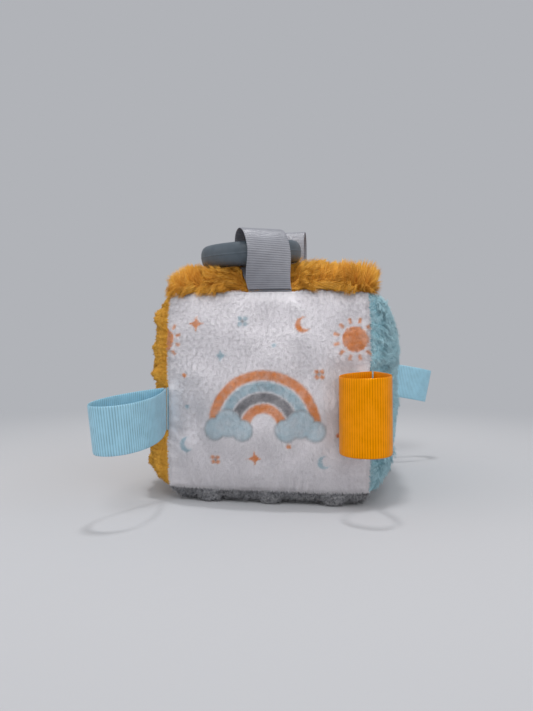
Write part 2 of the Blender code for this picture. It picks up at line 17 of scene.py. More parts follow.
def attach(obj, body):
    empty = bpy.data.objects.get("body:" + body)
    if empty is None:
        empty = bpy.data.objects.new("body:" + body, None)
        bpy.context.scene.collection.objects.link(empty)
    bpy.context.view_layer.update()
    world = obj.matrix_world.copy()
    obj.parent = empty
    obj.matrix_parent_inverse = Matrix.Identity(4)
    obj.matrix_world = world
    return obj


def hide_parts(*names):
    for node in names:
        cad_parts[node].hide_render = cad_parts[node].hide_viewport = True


bl_info = {
    "name": "Soft Fabric Block",
    "version": (1, 0, 0),
    "blender": (4, 5, 0),
    "location": "View3D > Sidebar > Soft Block",
    "description": "Sewn play block with plush, dimpled and fur panels, ribbon loops and a ring",
    "category": "Add Mesh",
}

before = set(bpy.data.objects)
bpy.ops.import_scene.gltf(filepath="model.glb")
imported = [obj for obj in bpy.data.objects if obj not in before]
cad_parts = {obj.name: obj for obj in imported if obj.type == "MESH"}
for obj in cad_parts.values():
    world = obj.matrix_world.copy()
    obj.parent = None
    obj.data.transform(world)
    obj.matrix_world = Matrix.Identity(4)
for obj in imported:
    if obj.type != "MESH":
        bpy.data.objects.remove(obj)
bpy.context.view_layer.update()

# The block between its seams, its seams and its cut edges, as the frame has them
HALF = np.array([0.105, 0.105, 0.1025]) / 2
BASE_SEAM_HEIGHT = 0.007
CENTRE = np.array([0.0, 0.0, BASE_SEAM_HEIGHT + HALF[2]])
BASE_CORNER_SHARE = 0.015
CORNER_POWER = 4
BACKING = 0.0015
SEAM_GROOVE = 0.0013
GROOVE_DEPTH = 0.0016
CUT_EDGE = 0.0095
ALLOWANCE_INSET = CUT_EDGE / math.sqrt(2)
EDGE_ACROSS = 0.0017 * math.sqrt(2)
GAP_ACROSS = 0.0003 / math.sqrt(2)
FILLING_GAP = 0.0006
PILE_FULLNESS = 8.0
FLOOR_GAP = 0.0002

# Where the cloth is fuller than the frame's: its top corners, the lip that rises at its seams,
# which a ribbon draws in over some width, and the fur's ends
TOP_CORNER_SHARE = 0.028
LIP_FULLNESS = 30.0
DRAWN_BLEND = 0.008
FUR_FULLNESS = (60.0, 30.0)

# The cloth's own relief: gathers that fade away from the seams while their phase wanders, broad
# lumps of the filling, a dome and a ditch at each dot, and a dimpled cloth's two grains, each
# with its height, its size and its seed
RELIEF_SEED = 40
WAVE_LENGTHS = (0.7, 1.6)
GATHER_REACH = 0.008
GATHER_WANDER = 2.2
GATHER_SHIFT = 5.0
GATHER_END_POWER = 8
WANDER_SIZE = 0.03
LUMP_SIZE = 0.026
LUMP_END_POWER = 4
DOME_POWER = 1.4
DITCH_DEPTH = 0.12
DITCH_PLACE = 1.05
DITCH_WIDTH = 0.18
DOTS_END = 1.02
DOTS_FADE = 0.08
GRAINS = ((0.00018, 0.0016, 77), (0.00025, 0.0032, 78))

# How strands stand: the band along each seam that gets a row of its own, how far a strand is
# longer than its pile is high, how much of its shading is that of the cloth, and its own form
EDGE_BAND = 0.03
EDGE_SHARE = 0.12
LEAN_RATIO = 2.2
LEAN_LENGTH = 0.002
CLOTH_SHADING = 0.5
STRAND_SIDES = 3
STRAND_TAPER = 1.5
CRINKLE = 0.0005
CRINKLE_TURN = 5.0
CRINKLES = (0.4, 1.0)
PILE_SEGMENTS = 2

# How the pile parts at a ribbon: how far in from the seam, over what width it stands up again,
# over what width it is pushed away, and how hard the long pile is pushed
PARTING_DEPTH = 0.0155
SHORT_PARTING_DEPTH = 0.0025
PARTING_BLEND = 0.005
PARTING_PUSH = 0.009
LONG_PUSH = 1.6

# What share of the front panel's strands the back one has, and how much longer the grey nap is
BACK_STRANDS = 0.6
GREY_NAP = 1.8

# Long pile: how its clumps and its strands differ in their way and their length, how a strand
# bends over on the way to its tip, and how deep its root is
CLUMP_JITTER = (0.1, 0.9)
CLUMP_WANDER = 0.22
CLUMP_LENGTHS = (0.88, 1.1)
STRAND_WANDER = 0.16
STRAND_LENGTHS = (-0.14, 0.08)
TIP_WANDER = 0.02
UPRIGHT_SHARE = 0.75
BEND_HOLD = 0.3
ROOT_DEPTH = 0.0002

# The fur's tufts, as the frame has them, with no hollows towards the right end, and its ends,
# which stand higher at the right and the front
TUFT_PITCH = 0.034
TUFT_DEPTH = 0.0035
TUFTS_END = (0.5, 0.8)
RIGHT_END = (0.82, 0.97)
RIGHT_RISE = 0.003
FRONT_END = (0.55, 0.85)
FRONT_RISE = 0.0025

# Sampling of the surfaces
FINE_STEPS = 160
PLAIN_STEPS = 120
INNER_SQUARES = 12
INNER_LEAST = 0.04
FILLING_STEPS = 36
SLOPE_STEP = 1e-3

# The filling's own lumps: height, size and how far they sink in
FIBRE_DEPTH = 0.0004
FIBRE_LUMP = 0.0003
FIBRE_LUMP_SIZE = 0.012
FIBRE_SEED = 300
FIBRE_SINK = 1.6
FIBRE_END_POWER = 6

# Ribbons, their folds as the frame has them
RIBBON_THICKNESS = 0.0005
HINGE_PROUD = 0.0002
DROOP_POWER = 1.5
TWISTED_BY_SHARE = 0.6
LEAST_OPENING = 0.0003
OUTLINE_SAMPLES = 3000
STEPS_A_RIB = 6
RIB_POWER = 0.6
ACROSS_SHARES = (1.0, 0.985, 0.95, 0.85, 0.6, 0.3)
SELVEDGE = 0.955
SELVEDGE_EDGE = 0.99
SELVEDGE_THIN = 0.03
END_START = 0.0003
END_APART = 0.49
UV_PER_METRE = 100

# Thread, with the lengths that the frame has, and one stitch of it
THREAD_RADIUS = 0.0003
THREAD_END = 0.003
THREAD_ROOM = 0.0009
THREAD_GAP = 0.0003
CLOSING_LENGTH = 0.045
CLOSED_SEAM = (0, (1, -1))
STITCH_INSET = 0.0013
STITCH_PROUD = 0.0002
STITCH_DIP = 0.0003
STITCH_RINGS = 9
STITCH_SIDES = 8
STITCH_TIP = 0.08

# Ring, as the frame has it, and how it presses the fur down
RING_OUTSIDE = 0.055
RING_BAND = 0.0092
RING_HEIGHT = 0.012
RING_POWER = 2.4
RING_RISE = math.radians(7.5)
RING_ROLL = math.radians(-3.0)
RING_SIDE_SHIFT = 0.0091
RING_CARRY = 0.0197
RING_AXIS_INSET = 0.0013
RING_PRESS_GAP = 0.0003
RING_PRESS_MARGIN = 0.0003
RING_PRESS_BLEND = 0.0015
RING_AROUND = 240
RING_SECTION = 72
RING_CROWDING = 0.38

# The print: how much larger its rainbow is than its drawing, how soft an ink's edge is, where
# the back panel's repeat starts, and the motifs' own forms
RAINBOW_SCALE = 1.7
INK_EDGE = 0.0004
BACK_SHIFT = (0.031, -0.022)
ARCHES = ((0.0150, 0, 0.95), (0.0118, 1, 0.95), (0.0086, 2, 0.8), (0.0054, 0, 0.95))
ARCH_HALF_WIDTH = 0.00135
CLOUD_PLACE = (0.0105, -0.0008)
PUFFS = ((-0.004, 0.0, 0.0032), (0.0, 0.0018, 0.0040), (0.0042, -0.0002, 0.0030))
CLOUD_INK = 0.75
CLOUD_RIM = 0.0003
CLOUD_RIM_INK = 0.35
SUN_RADIUS = 0.0062
SUN_RAYS = 12
RAY_MIDDLE = 0.0092
RAY_HALF_LENGTH = 0.0014
RAY_HALF_WIDTH = 0.0007
RAY_INK = 0.85
MOON_BITE = 0.84
MOON_SHIFT = (0.5, 0.2)
PETAL_RADIUS = 0.62
PETALS_CLOSER = 0.8
PETAL_INK = 0.9
HEART_RADIUS = 0.4
HEART_INK = 0.6

# The photograph's view, for an image of 533 by 711
CAMERA_PLACE = (0.0384, -0.3192, 0.079)
CAMERA_HEADING = math.radians(8.2)
CAMERA_TILT = math.radians(89.41)
CAMERA_LENS = 27.04
CAMERA_SENSOR = 36.0
CAMERA_NEAR = 0.01

# The stage: a round table top that turns into the backdrop between two distances, the lamps
# with their places, sizes and powers, and the strength of the surround
FLOOR_RADIUS = 12.0
FLOOR_CORNERS = 96
FLOOR_NEAR = 0.16
FLOOR_FAR = 0.5
LAMPS = (
    ("key", (0.1, -1.0, 0.95), 0.45, 3.8),
    ("front fill", (0.1, -1.2, 0.15), 0.3, 0.9),
    ("right fill", (1.0, -0.6, 0.5), 0.8, 1.8),
    ("left fill", (-1.0, -0.6, 0.5), 0.8, 1.8),
    ("overhead", (0.0, -0.12, 1.2), 0.13, 4.4),
)
SURROUND = 0.62


def linear(code):
    """An sRGB hex colour as linear red, green and blue."""
    shares = [int(code[k : k + 2], 16) / 255 for k in (1, 3, 5)]
    return tuple(s / 12.92 if s <= 0.04045 else ((s + 0.055) / 1.055) ** 2.4 for s in shares)


@dataclass
class Sewn:
    """One panel of the block: the axis it faces along, its side, its crown between seams and
    how far its pile stands on the crown. The lip is the share of the crown that rises right at
    the seams, and the lean makes the crown lower towards one side. Dots say where a dimpled
    cloth's lattice starts along the panel's two axes, and how large its dots are."""

    name: str
    axis: int
    side: int
    crown: float
    pile: float = 0.0
    fullness: tuple = (3.0, 3.0)
    lip: float = 0.1
    lean: tuple = (0.0, 0.0)
    pressed: bool = False
    dots: tuple = ()


@dataclass
class Folded:
    """One ribbon loop: its seam and its place on it, the ribbon's colour, the panels it lies
    against, which are not used, and the fold's own sizes. Its heading, roll, twist and skew are in
    degrees."""

    name: str
    along: int
    sides: tuple
    place: float
    colour: str
    rests: list
    width: float
    reach: float
    spread: float
    roundness: float
    heading: float
    lean: float = 0.0
    droop: float = 0.0
    roll: float = 0.0
    twist: float = 0.0
    slant: float = 0.0
    skew: float = 0.0

    @property
    def body(self):
        """The body that the free part of the loop rides on."""
        return self.name.replace("ribbon", "loop")


@dataclass
class ShortPile:
    """How a short straight pile stands: its seed, the weight and size of its slow swirl and of
    its quick one, how strands scatter, which way all lean, how far they lean and reach over the
    seams, and the strands' radii, depth and spread of lengths. Calm is how much stiller it is
    low down, tufts how much small tufts change its length and parted how much shorter it is
    beside a ribbon."""

    seed: int
    slow: tuple
    quick: tuple
    scatter: float
    lean: tuple
    combed: float
    over: float
    radii: tuple
    depth: float
    lengths: float
    calm: float = 0.0
    tufts: float = 0.0
    parted: float = 0.0


@dataclass
class Zone:
    """A change of a long pile towards a seam: which of the panel's shares it grows along, to
    which side, between which values, and what it adds to the combing, to the weight of the
    slow and the quick swirl, and to the strands' length."""

    share: int
    side: int
    low: float
    high: float
    combing: tuple = (0.0, 0.0)
    slow: float = 0.0
    quick: float = 0.0
    length: float = 0.0


@dataclass
class LongPile:
    """How a long pile lies: its pieces' names, its seed, how many clumps it has each way and
    how firmly they hold, its strands' radii, the combing and how far it goes over the seams,
    the weight and size of its slow swirl and of its quick one, the share, change and size of
    change of its length, and its zones."""

    names: list
    seed: int
    cells: int
    hold: float
    radii: tuple
    combing: tuple
    over: tuple
    slow: tuple
    quick: tuple
    length: tuple
    zones: list


FRONT = Sewn("front_panel", 1, -1, 0.010)
BACK = Sewn("back_panel", 1, 1, 0.010)
LEFT = Sewn(
    "left_panel", 0, -1, 0.0145, fullness=(4.0, 7.0), lip=0.35, lean=(0.0, 0.3),
    dots=(0.0, 0.0812 - CENTRE[2], 1.0),
)
RIGHT = Sewn("right_panel", 0, 1, 0.0105, 0.005, fullness=(4.0, 4.0), lip=0.3, lean=(0.0, -0.1))
TOP = Sewn("top_panel", 2, 1, 0.011, 0.0095, fullness=(3.5, 3.5), lip=0.2, lean=(0.2, 0.0))
BOTTOM = Sewn(
    "bottom_panel", 2, -1, 0.0085, fullness=(20.0, 3.0), lip=0.47, pressed=True,
    dots=(0.0015, 0.0135, 1.3),
)
PANELS = [FRONT, BACK, LEFT, RIGHT, TOP, BOTTOM]

LOOPS = [
    Folded(
        "front_left_ribbon", 2, (-1, -1), 0.0485 - CENTRE[2], "blue",
        ["left_panel", "front_panel"],
        width=0.022, reach=0.0515, spread=0.0149, roundness=1.45, heading=264.8,
        lean=-0.0078, droop=0.0046, roll=-0.3, skew=12.5,
    ),
    Folded(
        "front_right_ribbon", 2, (1, -1), 0.051 - CENTRE[2], "amber",
        ["front_panel", "right_panel"],
        width=0.035, reach=0.029, spread=0.0158, roundness=1.2, heading=256,
        lean=0.0012, droop=0.0022, roll=1.5, skew=-4,
    ),
    Folded(
        "back_right_ribbon", 2, (1, 1), 0.060 - CENTRE[2], "blue",
        ["back_panel", "right_panel"],
        width=0.022, reach=0.051, spread=0.0095, roundness=1.1, heading=28.5,
        droop=0.0069, roll=3, skew=11.5,
    ),
    Folded(
        "top_front_ribbon", 0, (-1, 1), 0.0016, "grey", ["front_panel", "top_panel"],
        width=0.022, reach=0.0311, spread=0.0134, roundness=0.9, heading=80,
        twist=-24.6, slant=-0.0067, skew=5.2,
    ),
    Folded(
        "top_back_ribbon", 0, (1, 1), 0.001, "grey", ["back_panel", "top_panel"],
        width=0.022, reach=0.051, spread=0.0095, roundness=1.2, heading=88, twist=4,
    ),
]
RING_LOOP = LOOPS[3]

PLUSH = ShortPile(
    seed=100, slow=(0.4, 0.016), quick=(0.5, 0.0029), scatter=0.35, lean=(0.05, -0.25),
    combed=0.6, over=0.6, radii=(0.00014, 0.00021), depth=0.00015, lengths=0.1,
    calm=0.6, tufts=0.12, parted=0.6,
)
NAP = ShortPile(
    seed=120, slow=(0.5, 0.010), quick=(0.7, 0.003), scatter=0.4, lean=(0.0, -0.4),
    combed=0.8, over=1.0, radii=(0.00015, 0.00022), depth=0.0001, lengths=0.25,
)
CALM_LOW_DOWN = (-0.8, 0.4)
TUFT_SIZE = 0.0021

# The fur is combed over to the right and forward near the front seam, and swirls at the left.
# Its right end stands up and leans out over the seam. The teal pile is combed away from the
# front seam and a little down, and is crimped near that seam
FUR = LongPile(
    ["fur_pile_1", "fur_pile_2", "fur_pile_3"], seed=200, cells=54, hold=0.4,
    radii=(0.00012, 0.0002), combing=(1.0, -0.1), over=(0.5, 1.0), slow=(0.35, 0.022),
    quick=(0.3, 0.009), length=(0.95, 0.12, 0.5),
    zones=[
        Zone(0, -1, -0.2, 0.6, combing=(-1.5, 0.0), slow=0.4),
        Zone(0, 1, 0.75, 0.95, combing=(-1.2, 0.0), length=0.2),
        Zone(1, -1, 0.45, 1.0, combing=(0.0, -1.0)),
        Zone(0, 1, 0.88, 1.0, length=-0.5),
        Zone(0, -1, 0.88, 1.0, length=-0.5),
    ],
)
TEAL = LongPile(
    ["teal_pile_1", "teal_pile_2"], seed=220, cells=44, hold=0.42,
    radii=(0.00015, 0.00024), combing=(0.55, -0.35), over=(1.2, 1.2), slow=(0.4, 0.020),
    quick=(0.3, 0.008), length=(1.0, 0.16, 0.35),
    zones=[Zone(0, -1, 0.6, 1.0, combing=(-0.7, 0.0), quick=0.35)],
)


def size(name, value, description):
    """A length in metres that a user can change."""
    return FloatProperty(
        name=name, default=value, description=description, unit="LENGTH", precision=5, min=0.0
    )


def tone(name, code, description):
    """A colour that a user can change, from its sRGB hex code."""
    return FloatVectorProperty(
        name=name, default=linear(code), description=description, subtype="COLOR", min=0, max=1
    )


def number(name, value, description):
    """A count that a user can change."""
    return IntProperty(name=name, default=value, description=description, min=1)


class BlockCloth(bpy.types.PropertyGroup):
    """Sizes of the pile, the dots, the seams and the print."""

    plush_length: size("Plush length", 0.0015, "Length of the white plush's pile")
    plush_count: number("Plush strands", 43500, "Strands on the front panel")
    teal_length: size("Teal length", 0.0062, "Length of the curly teal pile")
    teal_count: number("Teal strands", 11500, "Strands in each half of the teal pile")
    fur_length: size("Fur length", 0.0120, "Length of the mustard fur")
    fur_count: number("Fur strands", 17500, "Strands in each third of the mustard fur")
    nap_length: size("Nap length", 0.0011, "Length of the dimpled cloth's short nap")
    nap_count: number("Nap strands", 34000, "Strands on the dimpled left panel")
    dot_pitch: size("Dot pitch", 0.033, "Distance between two dots of one row")
    dot_width: size("Dot width", 0.0125, "Width of one raised dot")
    dot_height: size("Dot height", 0.0034, "How far a dot stands out")
    pucker: size("Pucker", 0.0002, "Height of the small gathers along each seam")
    pucker_pitch: size("Pucker pitch", 0.0075, "Distance between two gathers")
    lump: size("Lump", 0.0007, "Height of the broad lumps that the filling makes")
    repeat_width: size("Repeat width", 0.098, "Width of the print's repeat")
    repeat_height: size("Repeat height", 0.094, "Height of the print's repeat")


class BlockTrim(bpy.types.PropertyGroup):
    """Sizes of the ribbons' weave and of the sewing."""

    rib_pitch: size("Rib pitch", 0.00115, "Distance between two ribs of the grosgrain")
    rib_height: size("Rib height", 0.00012, "How far a rib stands out on each face")
    picot: size("Picot", 0.00008, "How far the selvedge bulges at each rib")
    stitch_pitch: size("Stitch pitch", 0.003, "Length of one machine stitch and its gap")
    stitch_length: size("Stitch length", 0.0024, "Length of the thread that shows of a stitch")
    hand_pitch: size("Hand pitch", 0.0045, "Length of one hand stitch and its gap")
    parting_height: size("Parting height", 0.00016, "How far the ring's parting line stands out")
    parting_width: size("Parting width", 0.00030, "Half width of the ring's parting line")


class BlockColours(bpy.types.PropertyGroup):
    """Colours of the cloths, ribbons, ring, thread, filling and inks."""

    white: tone("White plush", "#f0edf1", "Undyed polyester plush")
    # Painted shade: the plush's colour as it looks down between its strands, where shade falls
    white_root_shade: tone("White plush, roots", "#e6e3e8", "The plush between its strands")
    apricot: tone("Apricot ink", "#e58f45", "Warm ink of the print")
    dusty_blue: tone("Blue ink", "#a9c6d2", "Cool ink of the print")
    charcoal: tone("Charcoal ink", "#55565c", "Dark ink of the print")
    yellow: tone("Yellow dimpled", "#edba4c", "Mustard yellow dimpled plush")
    # Painted shade: the yellow nap's colour as it looks down between its strands
    yellow_shade: tone("Yellow dimpled, deep", "#cc9232", "The same, down in its nap")
    teal: tone("Teal plush", "#c3e5ef", "Dusty teal pile, tips")
    # Painted shade: the teal pile's colour as it looks down between its strands
    teal_shade: tone("Teal plush, deep", "#84b1be", "Dusty teal pile, roots")
    fur: tone("Mustard fur", "#ffb93a", "Long pile, tips")
    # Painted shade: the fur's colour as it looks down between its strands
    fur_shade: tone("Mustard fur, deep", "#b0690f", "Long pile, roots")
    fur_light: tone("Mustard fur, light", "#ffda7a", "The palest tips of the long pile")
    grey: tone("Grey dimpled", "#dadade", "Grey dimpled plush, tips of its nap")
    # Painted shade: the grey nap's colour down between its strands, dark enough to paint the shade
    # under the block's bottom edge and at the floor
    grey_shade: tone("Grey dimpled, deep", "#515257", "The same, down in its nap")
    ribbon_blue: tone("Blue ribbon", "#9acde2", "Sky blue grosgrain")
    ribbon_amber: tone("Amber ribbon", "#e98d00", "Amber grosgrain")
    amber_gloss: tone("Amber gloss", "#ffb81e", "What the amber ribbon shines")
    ribbon_grey: tone("Grey ribbon", "#8c8e96", "Silver grey grosgrain")
    slate: tone("Silicone", "#4b555e", "Slate grey silicone")
    thread: tone("Thread", "#d4d4d6", "Pale polyester sewing thread")
    fibre: tone("Filling", "#ececea", "White hollow fibre filling")
    floor: tone("Floor", "#bbbcc0", "Pale matt table top")
    backdrop: tone("Backdrop", "#b1b3b8", "What the camera sees behind the block")


def cloth():
    """The settings of the panels."""
    return bpy.context.scene.soft_block_cloth


def trim():
    """The settings of the ribbons, the sewing and the ring."""
    return bpy.context.scene.soft_block_trim


def colours():
    """The colours of every finish."""
    return bpy.context.scene.soft_block_colours


def waves(points, length, seed, count=16):
    """A smooth random field of about unit size: plane waves of nearly one length, added up."""
    rng = np.random.default_rng(seed)
    ways = rng.normal(size=(count, points.shape[-1]))
    lengths = length * rng.uniform(*WAVE_LENGTHS, (count, 1))
    ways *= 2 * np.pi / (lengths * np.linalg.norm(ways, axis=1)[:, None])
    phases = rng.uniform(0, 2 * np.pi, count)
    return np.cos(points @ ways.T + phases).sum(-1) * math.sqrt(2 / count)


def unit(vectors):
    """Vectors over their own length."""
    return vectors / np.maximum(np.linalg.norm(vectors, axis=-1, keepdims=True), 1e-12)


def lateral_axes(axis):
    """The two axes beside one, in order."""
    return [other for other in range(3) if other != axis]


def laid_flat(panel, places):
    """Places over a panel in metres from its middle, along its two axes."""
    first, second = lateral_axes(panel.axis)
    return places * np.array([HALF[first], HALF[second]])


def corner_draw(product, height_share):
    """Share of the full size that is left where the corners are drawn in, more at the top."""
    high = (1 + height_share) / 2
    share = TOP_CORNER_SHARE * high + BASE_CORNER_SHARE * (1 - high)
    return 1 - share * np.abs(product) ** CORNER_POWER


def ribbons_on(panel, places):
    """Each ribbon caught in a panel's seams, as the places' axes along and across it, its side,
    and how far each place is from its middle, beside it and in from its seam."""
    lateral = lateral_axes(panel.axis)
    for loop in LOOPS:
        sides = dict(zip(lateral_axes(loop.along), loop.sides))
        if sides.get(panel.axis) != panel.side:
            continue
        along, across = lateral.index(loop.along), 1 - lateral.index(loop.along)
        side = sides[lateral[across]]
        offset = places[..., along] * HALF[loop.along] - loop.place
        inwards = (1 - side * places[..., across]) * HALF[lateral[across]]
        yield along, across, side, offset, np.abs(offset) - loop.width / 2, inwards


def drawn_in(panel, u, v):
    """Share of the lip that is left where a ribbon draws the cloth in."""
    share = np.ones(np.shape(u))
    for *_, beside, inwards in ribbons_on(panel, np.stack([u, v], axis=-1)):
        clear = np.maximum(beside, inwards - PARTING_DEPTH)
        share = np.minimum(share, smooth_step(clear, 0.0, DRAWN_BLEND))
    return share


def rise(panel, u, v, reach):
    """Crown height: reach times one minus each share to the panel's fullness, with its lip and
    lean."""
    a, b = np.abs(u), np.abs(v)
    broad = (1 - a ** panel.fullness[0]) * (1 - b ** panel.fullness[1])
    quick = (1 - a**LIP_FULLNESS) * (1 - b**LIP_FULLNESS) * drawn_in(panel, u, v)
    level = 1 - panel.lean[0] * u - panel.lean[1] * v
    return reach * level * ((1 - panel.lip) * broad + panel.lip * quick)


def placed(panel, u, v, height, inset, floor=0.0):
    """Points over a panel at some height past its seams, inset from its neighbours' planes."""
    first, second = lateral_axes(panel.axis)
    draw = corner_draw(u * v, panel.side if panel.axis == 2 else v)
    points = np.empty(u.shape + (3,))
    points[..., first] = (HALF[first] - inset) * u * draw
    points[..., second] = (HALF[second] - inset) * v * draw
    points[..., panel.axis] = panel.side * (HALF[panel.axis] + height) * draw
    points += CENTRE
    if panel.pressed:
        points[..., 2] = np.maximum(points[..., 2], floor)
    return points


def gathers(panel, u, v):
    """Small waves that run away from each seam, and broad lumps of the filling.

    A gather is a sine along the seam whose phase wanders, and it fades away from the seam as a
    bell curve."""
    settings = cloth()
    flat = laid_flat(panel, np.stack([u, v], axis=-1))
    half_u, half_v = (HALF[axis] for axis in lateral_axes(panel.axis))
    seed = RELIEF_SEED + PANELS.index(panel)
    drift = GATHER_WANDER * waves(flat, WANDER_SIZE, seed)
    total = np.zeros(u.shape)
    for here, there, half_here, half_there in ((u, v, half_u, half_v), (v, u, half_v, half_u)):
        for side in (-1, 1):
            inward = (1 - side * here) * half_here
            along = 2 * np.pi * there * half_there / settings.pucker_pitch
            fade = np.exp(-((inward / GATHER_REACH) ** 2)) * (1 - there**GATHER_END_POWER)
            total += settings.pucker * np.sin(along + drift + GATHER_SHIFT * side) * fade
    broad = waves(flat, LUMP_SIZE, seed + 10)
    return total + settings.lump * (
        broad * (1 - u**LUMP_END_POWER) * (1 - v**LUMP_END_POWER)
    )


def dots(panel, flat):
    """Raised dots of the dimpled cloth: domes on a square lattice with one more in each middle.

    A dome's height falls as a power of one minus the squared distance over its radius, and the
    ditch round it is a bell curve."""
    settings = cloth()
    pitch = settings.dot_pitch
    start, larger = np.array(panel.dots[:2]), panel.dots[2]
    near = []
    for shift in (0.0, pitch / 2):
        off = (flat - start - shift + pitch / 2) % pitch - pitch / 2
        near.append(np.hypot(off[..., 0], off[..., 1]))
    away = np.minimum(*near) / (larger * settings.dot_width / 2)
    dome = np.clip(1 - away**2, 0, None) ** DOME_POWER
    ditch = DITCH_DEPTH * np.exp(-(((away - DITCH_PLACE) / DITCH_WIDTH) ** 2))
    return larger * settings.dot_height * (dome - ditch)


def surface(panel, u, v):
    """The cloth's outer face: crown, gathers and, on dimpled cloth, the dots and a fine grain."""
    height = rise(panel, u, v, panel.crown) + gathers(panel, u, v)
    if panel.dots:
        fade = np.clip(DOTS_END - np.maximum(np.abs(u), np.abs(v)), 0, DOTS_FADE) / DOTS_FADE
        flat = laid_flat(panel, np.stack([u, v], axis=-1))
        height = height + dots(panel, flat) * fade
        for grain, size_of_grain, seed in GRAINS:
            height = height + grain * waves(flat, size_of_grain, seed)
    return placed(panel, u, v, height, SEAM_GROOVE, FLOOR_GAP)


def surface_and_normal(panel, u, v):
    """Points on the cloth and its unit normals, from the slopes along u and v."""
    low_u, high_u = surface(panel, u - SLOPE_STEP, v), surface(panel, u + SLOPE_STEP, v)
    low_v, high_v = surface(panel, u, v - SLOPE_STEP), surface(panel, u, v + SLOPE_STEP)
    normal = unit(np.cross(high_u - low_u, high_v - low_v))
    normal *= np.sign(normal[..., panel.axis] * panel.side)[..., None]
    return surface(panel, u, v), normal


def add_mesh(name, points, groups, smooth=True):
    """An object of one mesh from points and arrays of faces, each array with one corner count."""
    groups = [np.asarray(group) for group in groups]
    corners = np.concatenate([group.ravel() for group in groups]).astype(np.int32)
    counts = np.concatenate([np.full(len(group), group.shape[1]) for group in groups])
    starts = np.concatenate([[0], np.cumsum(counts)[:-1]]).astype(np.int32)
    mesh = bpy.data.meshes.new(name)
    mesh.vertices.add(len(points))
    mesh.vertices.foreach_set("co", np.asarray(points, np.float32).ravel())
    mesh.loops.add(len(corners))
    mesh.loops.foreach_set("vertex_index", corners)
    mesh.polygons.add(len(starts))
    mesh.polygons.foreach_set("loop_start", starts)
    mesh.update(calc_edges=True)
    if smooth:
        mesh.shade_smooth()
    made = bpy.data.objects.new(name, mesh)
    bpy.context.scene.collection.objects.link(made)
    return made


def give_value(piece, name, values):
    """A number at each point of a piece's mesh, for its material."""
    attribute = piece.data.attributes.new(name, "FLOAT", "POINT")
    attribute.data.foreach_set("value", np.asarray(values, np.float32).ravel())


def give_ink(piece, weights):
    """Three ink weights at each point of a piece's mesh, as one colour attribute."""
    attribute = piece.data.attributes.new("ink", "FLOAT_COLOR", "POINT")
    full = np.concatenate([weights, np.ones((len(weights), 1))], axis=1)
    attribute.data.foreach_set("color", full.astype(np.float32).ravel())


def give_lines(piece, along, across):
    """A UV map that runs along and across a ribbon, in hundredths of a metre."""
    corners = np.empty(len(piece.data.loops), np.int32)
    piece.data.loops.foreach_get("vertex_index", corners)
    pairs = np.stack([along, across], axis=-1).reshape(-1, 2)[corners] * UV_PER_METRE
    layer = piece.data.uv_layers.new(name="weave")
    layer.data.foreach_set("uv", pairs.astype(np.float32).ravel())


def grid_faces(rows, columns, start=0):
    """Quads of a grid of points that is numbered row by row."""
    numbers = start + np.arange(rows * columns).reshape(rows, columns)
    corners = [numbers[:-1, :-1], numbers[1:, :-1], numbers[1:, 1:], numbers[:-1, 1:]]
    return np.stack(corners, axis=-1).reshape(-1, 4)


def band_faces(near, far):
    """Quads between two closed rings of point numbers, facing as the grid inside near does."""
    return np.stack([np.roll(near, -1), near, far, np.roll(far, -1)], axis=-1)


def square(steps):
    """A square grid of shares, and its edge once round, as rows and columns of the grid."""
    u, v = np.meshgrid(*[np.linspace(-1, 1, steps + 1)] * 2, indexing="ij")
    once, rest = np.arange(steps), np.full(steps, steps)
    rows = np.concatenate([once, rest, steps - once, 0 * once])
    columns = np.concatenate([0 * once, once, rest, steps - once])
    return u, v, rows, columns


def faces_outward(panel):
    """Whether a grid over the panel's two shares already faces out of the block."""
    turn = -1 if panel.axis == 1 else 1
    return panel.side * turn > 0


def cloth_shell(panel, name, steps):
    """A panel of real cloth, closed: its face, the groove at the seams, the turned-in allowance
    and the wrong side, which is made of squares one inside another."""
    u, v, rows, columns = square(steps)
    edge_u, edge_v = u[rows, columns], v[rows, columns]
    outer = surface(panel, u, v).reshape(-1, 3)
    turned_in = (
        (GROOVE_DEPTH, GROOVE_DEPTH + GAP_ACROSS),
        (ALLOWANCE_INSET, ALLOWANCE_INSET + GAP_ACROSS),
        (ALLOWANCE_INSET, ALLOWANCE_INSET + GAP_ACROSS + EDGE_ACROSS),
    )
    rings = [placed(panel, edge_u, edge_v, -depth, inset) for depth, inset in turned_in]
    for reach in np.linspace(1, INNER_LEAST, INNER_SQUARES):
        inner_u, inner_v = edge_u * reach, edge_v * reach
        height = rise(panel, inner_u, inner_v, panel.crown) - BACKING
        inset = BACKING + GAP_ACROSS + EDGE_ACROSS
        rings.append(placed(panel, inner_u, inner_v, height, inset, BACKING))
    numbers = [rows * (steps + 1) + columns]
    numbers += [len(outer) + k * len(rows) + np.arange(len(rows)) for k in range(len(rings))]
    groups = [grid_faces(steps + 1, steps + 1)]
    groups += [band_faces(near, far) for near, far in zip(numbers, numbers[1:])]
    groups += [numbers[-1][::-1][None, :]]
    if not faces_outward(panel):
        groups = [group[:, ::-1] for group in groups]
    return add_mesh(name, np.concatenate([outer, *rings]), groups)


def scattered(count, rng):
    """About count places over a panel, one at random in each cell of a square grid."""
    side = int(round(math.sqrt(count)))
    cell = np.stack(np.meshgrid(np.arange(side), np.arange(side), indexing="ij"), axis=-1)
    places = (cell + rng.uniform(0, 1, cell.shape)) / side * 2 - 1
    return places.reshape(-1, 2)


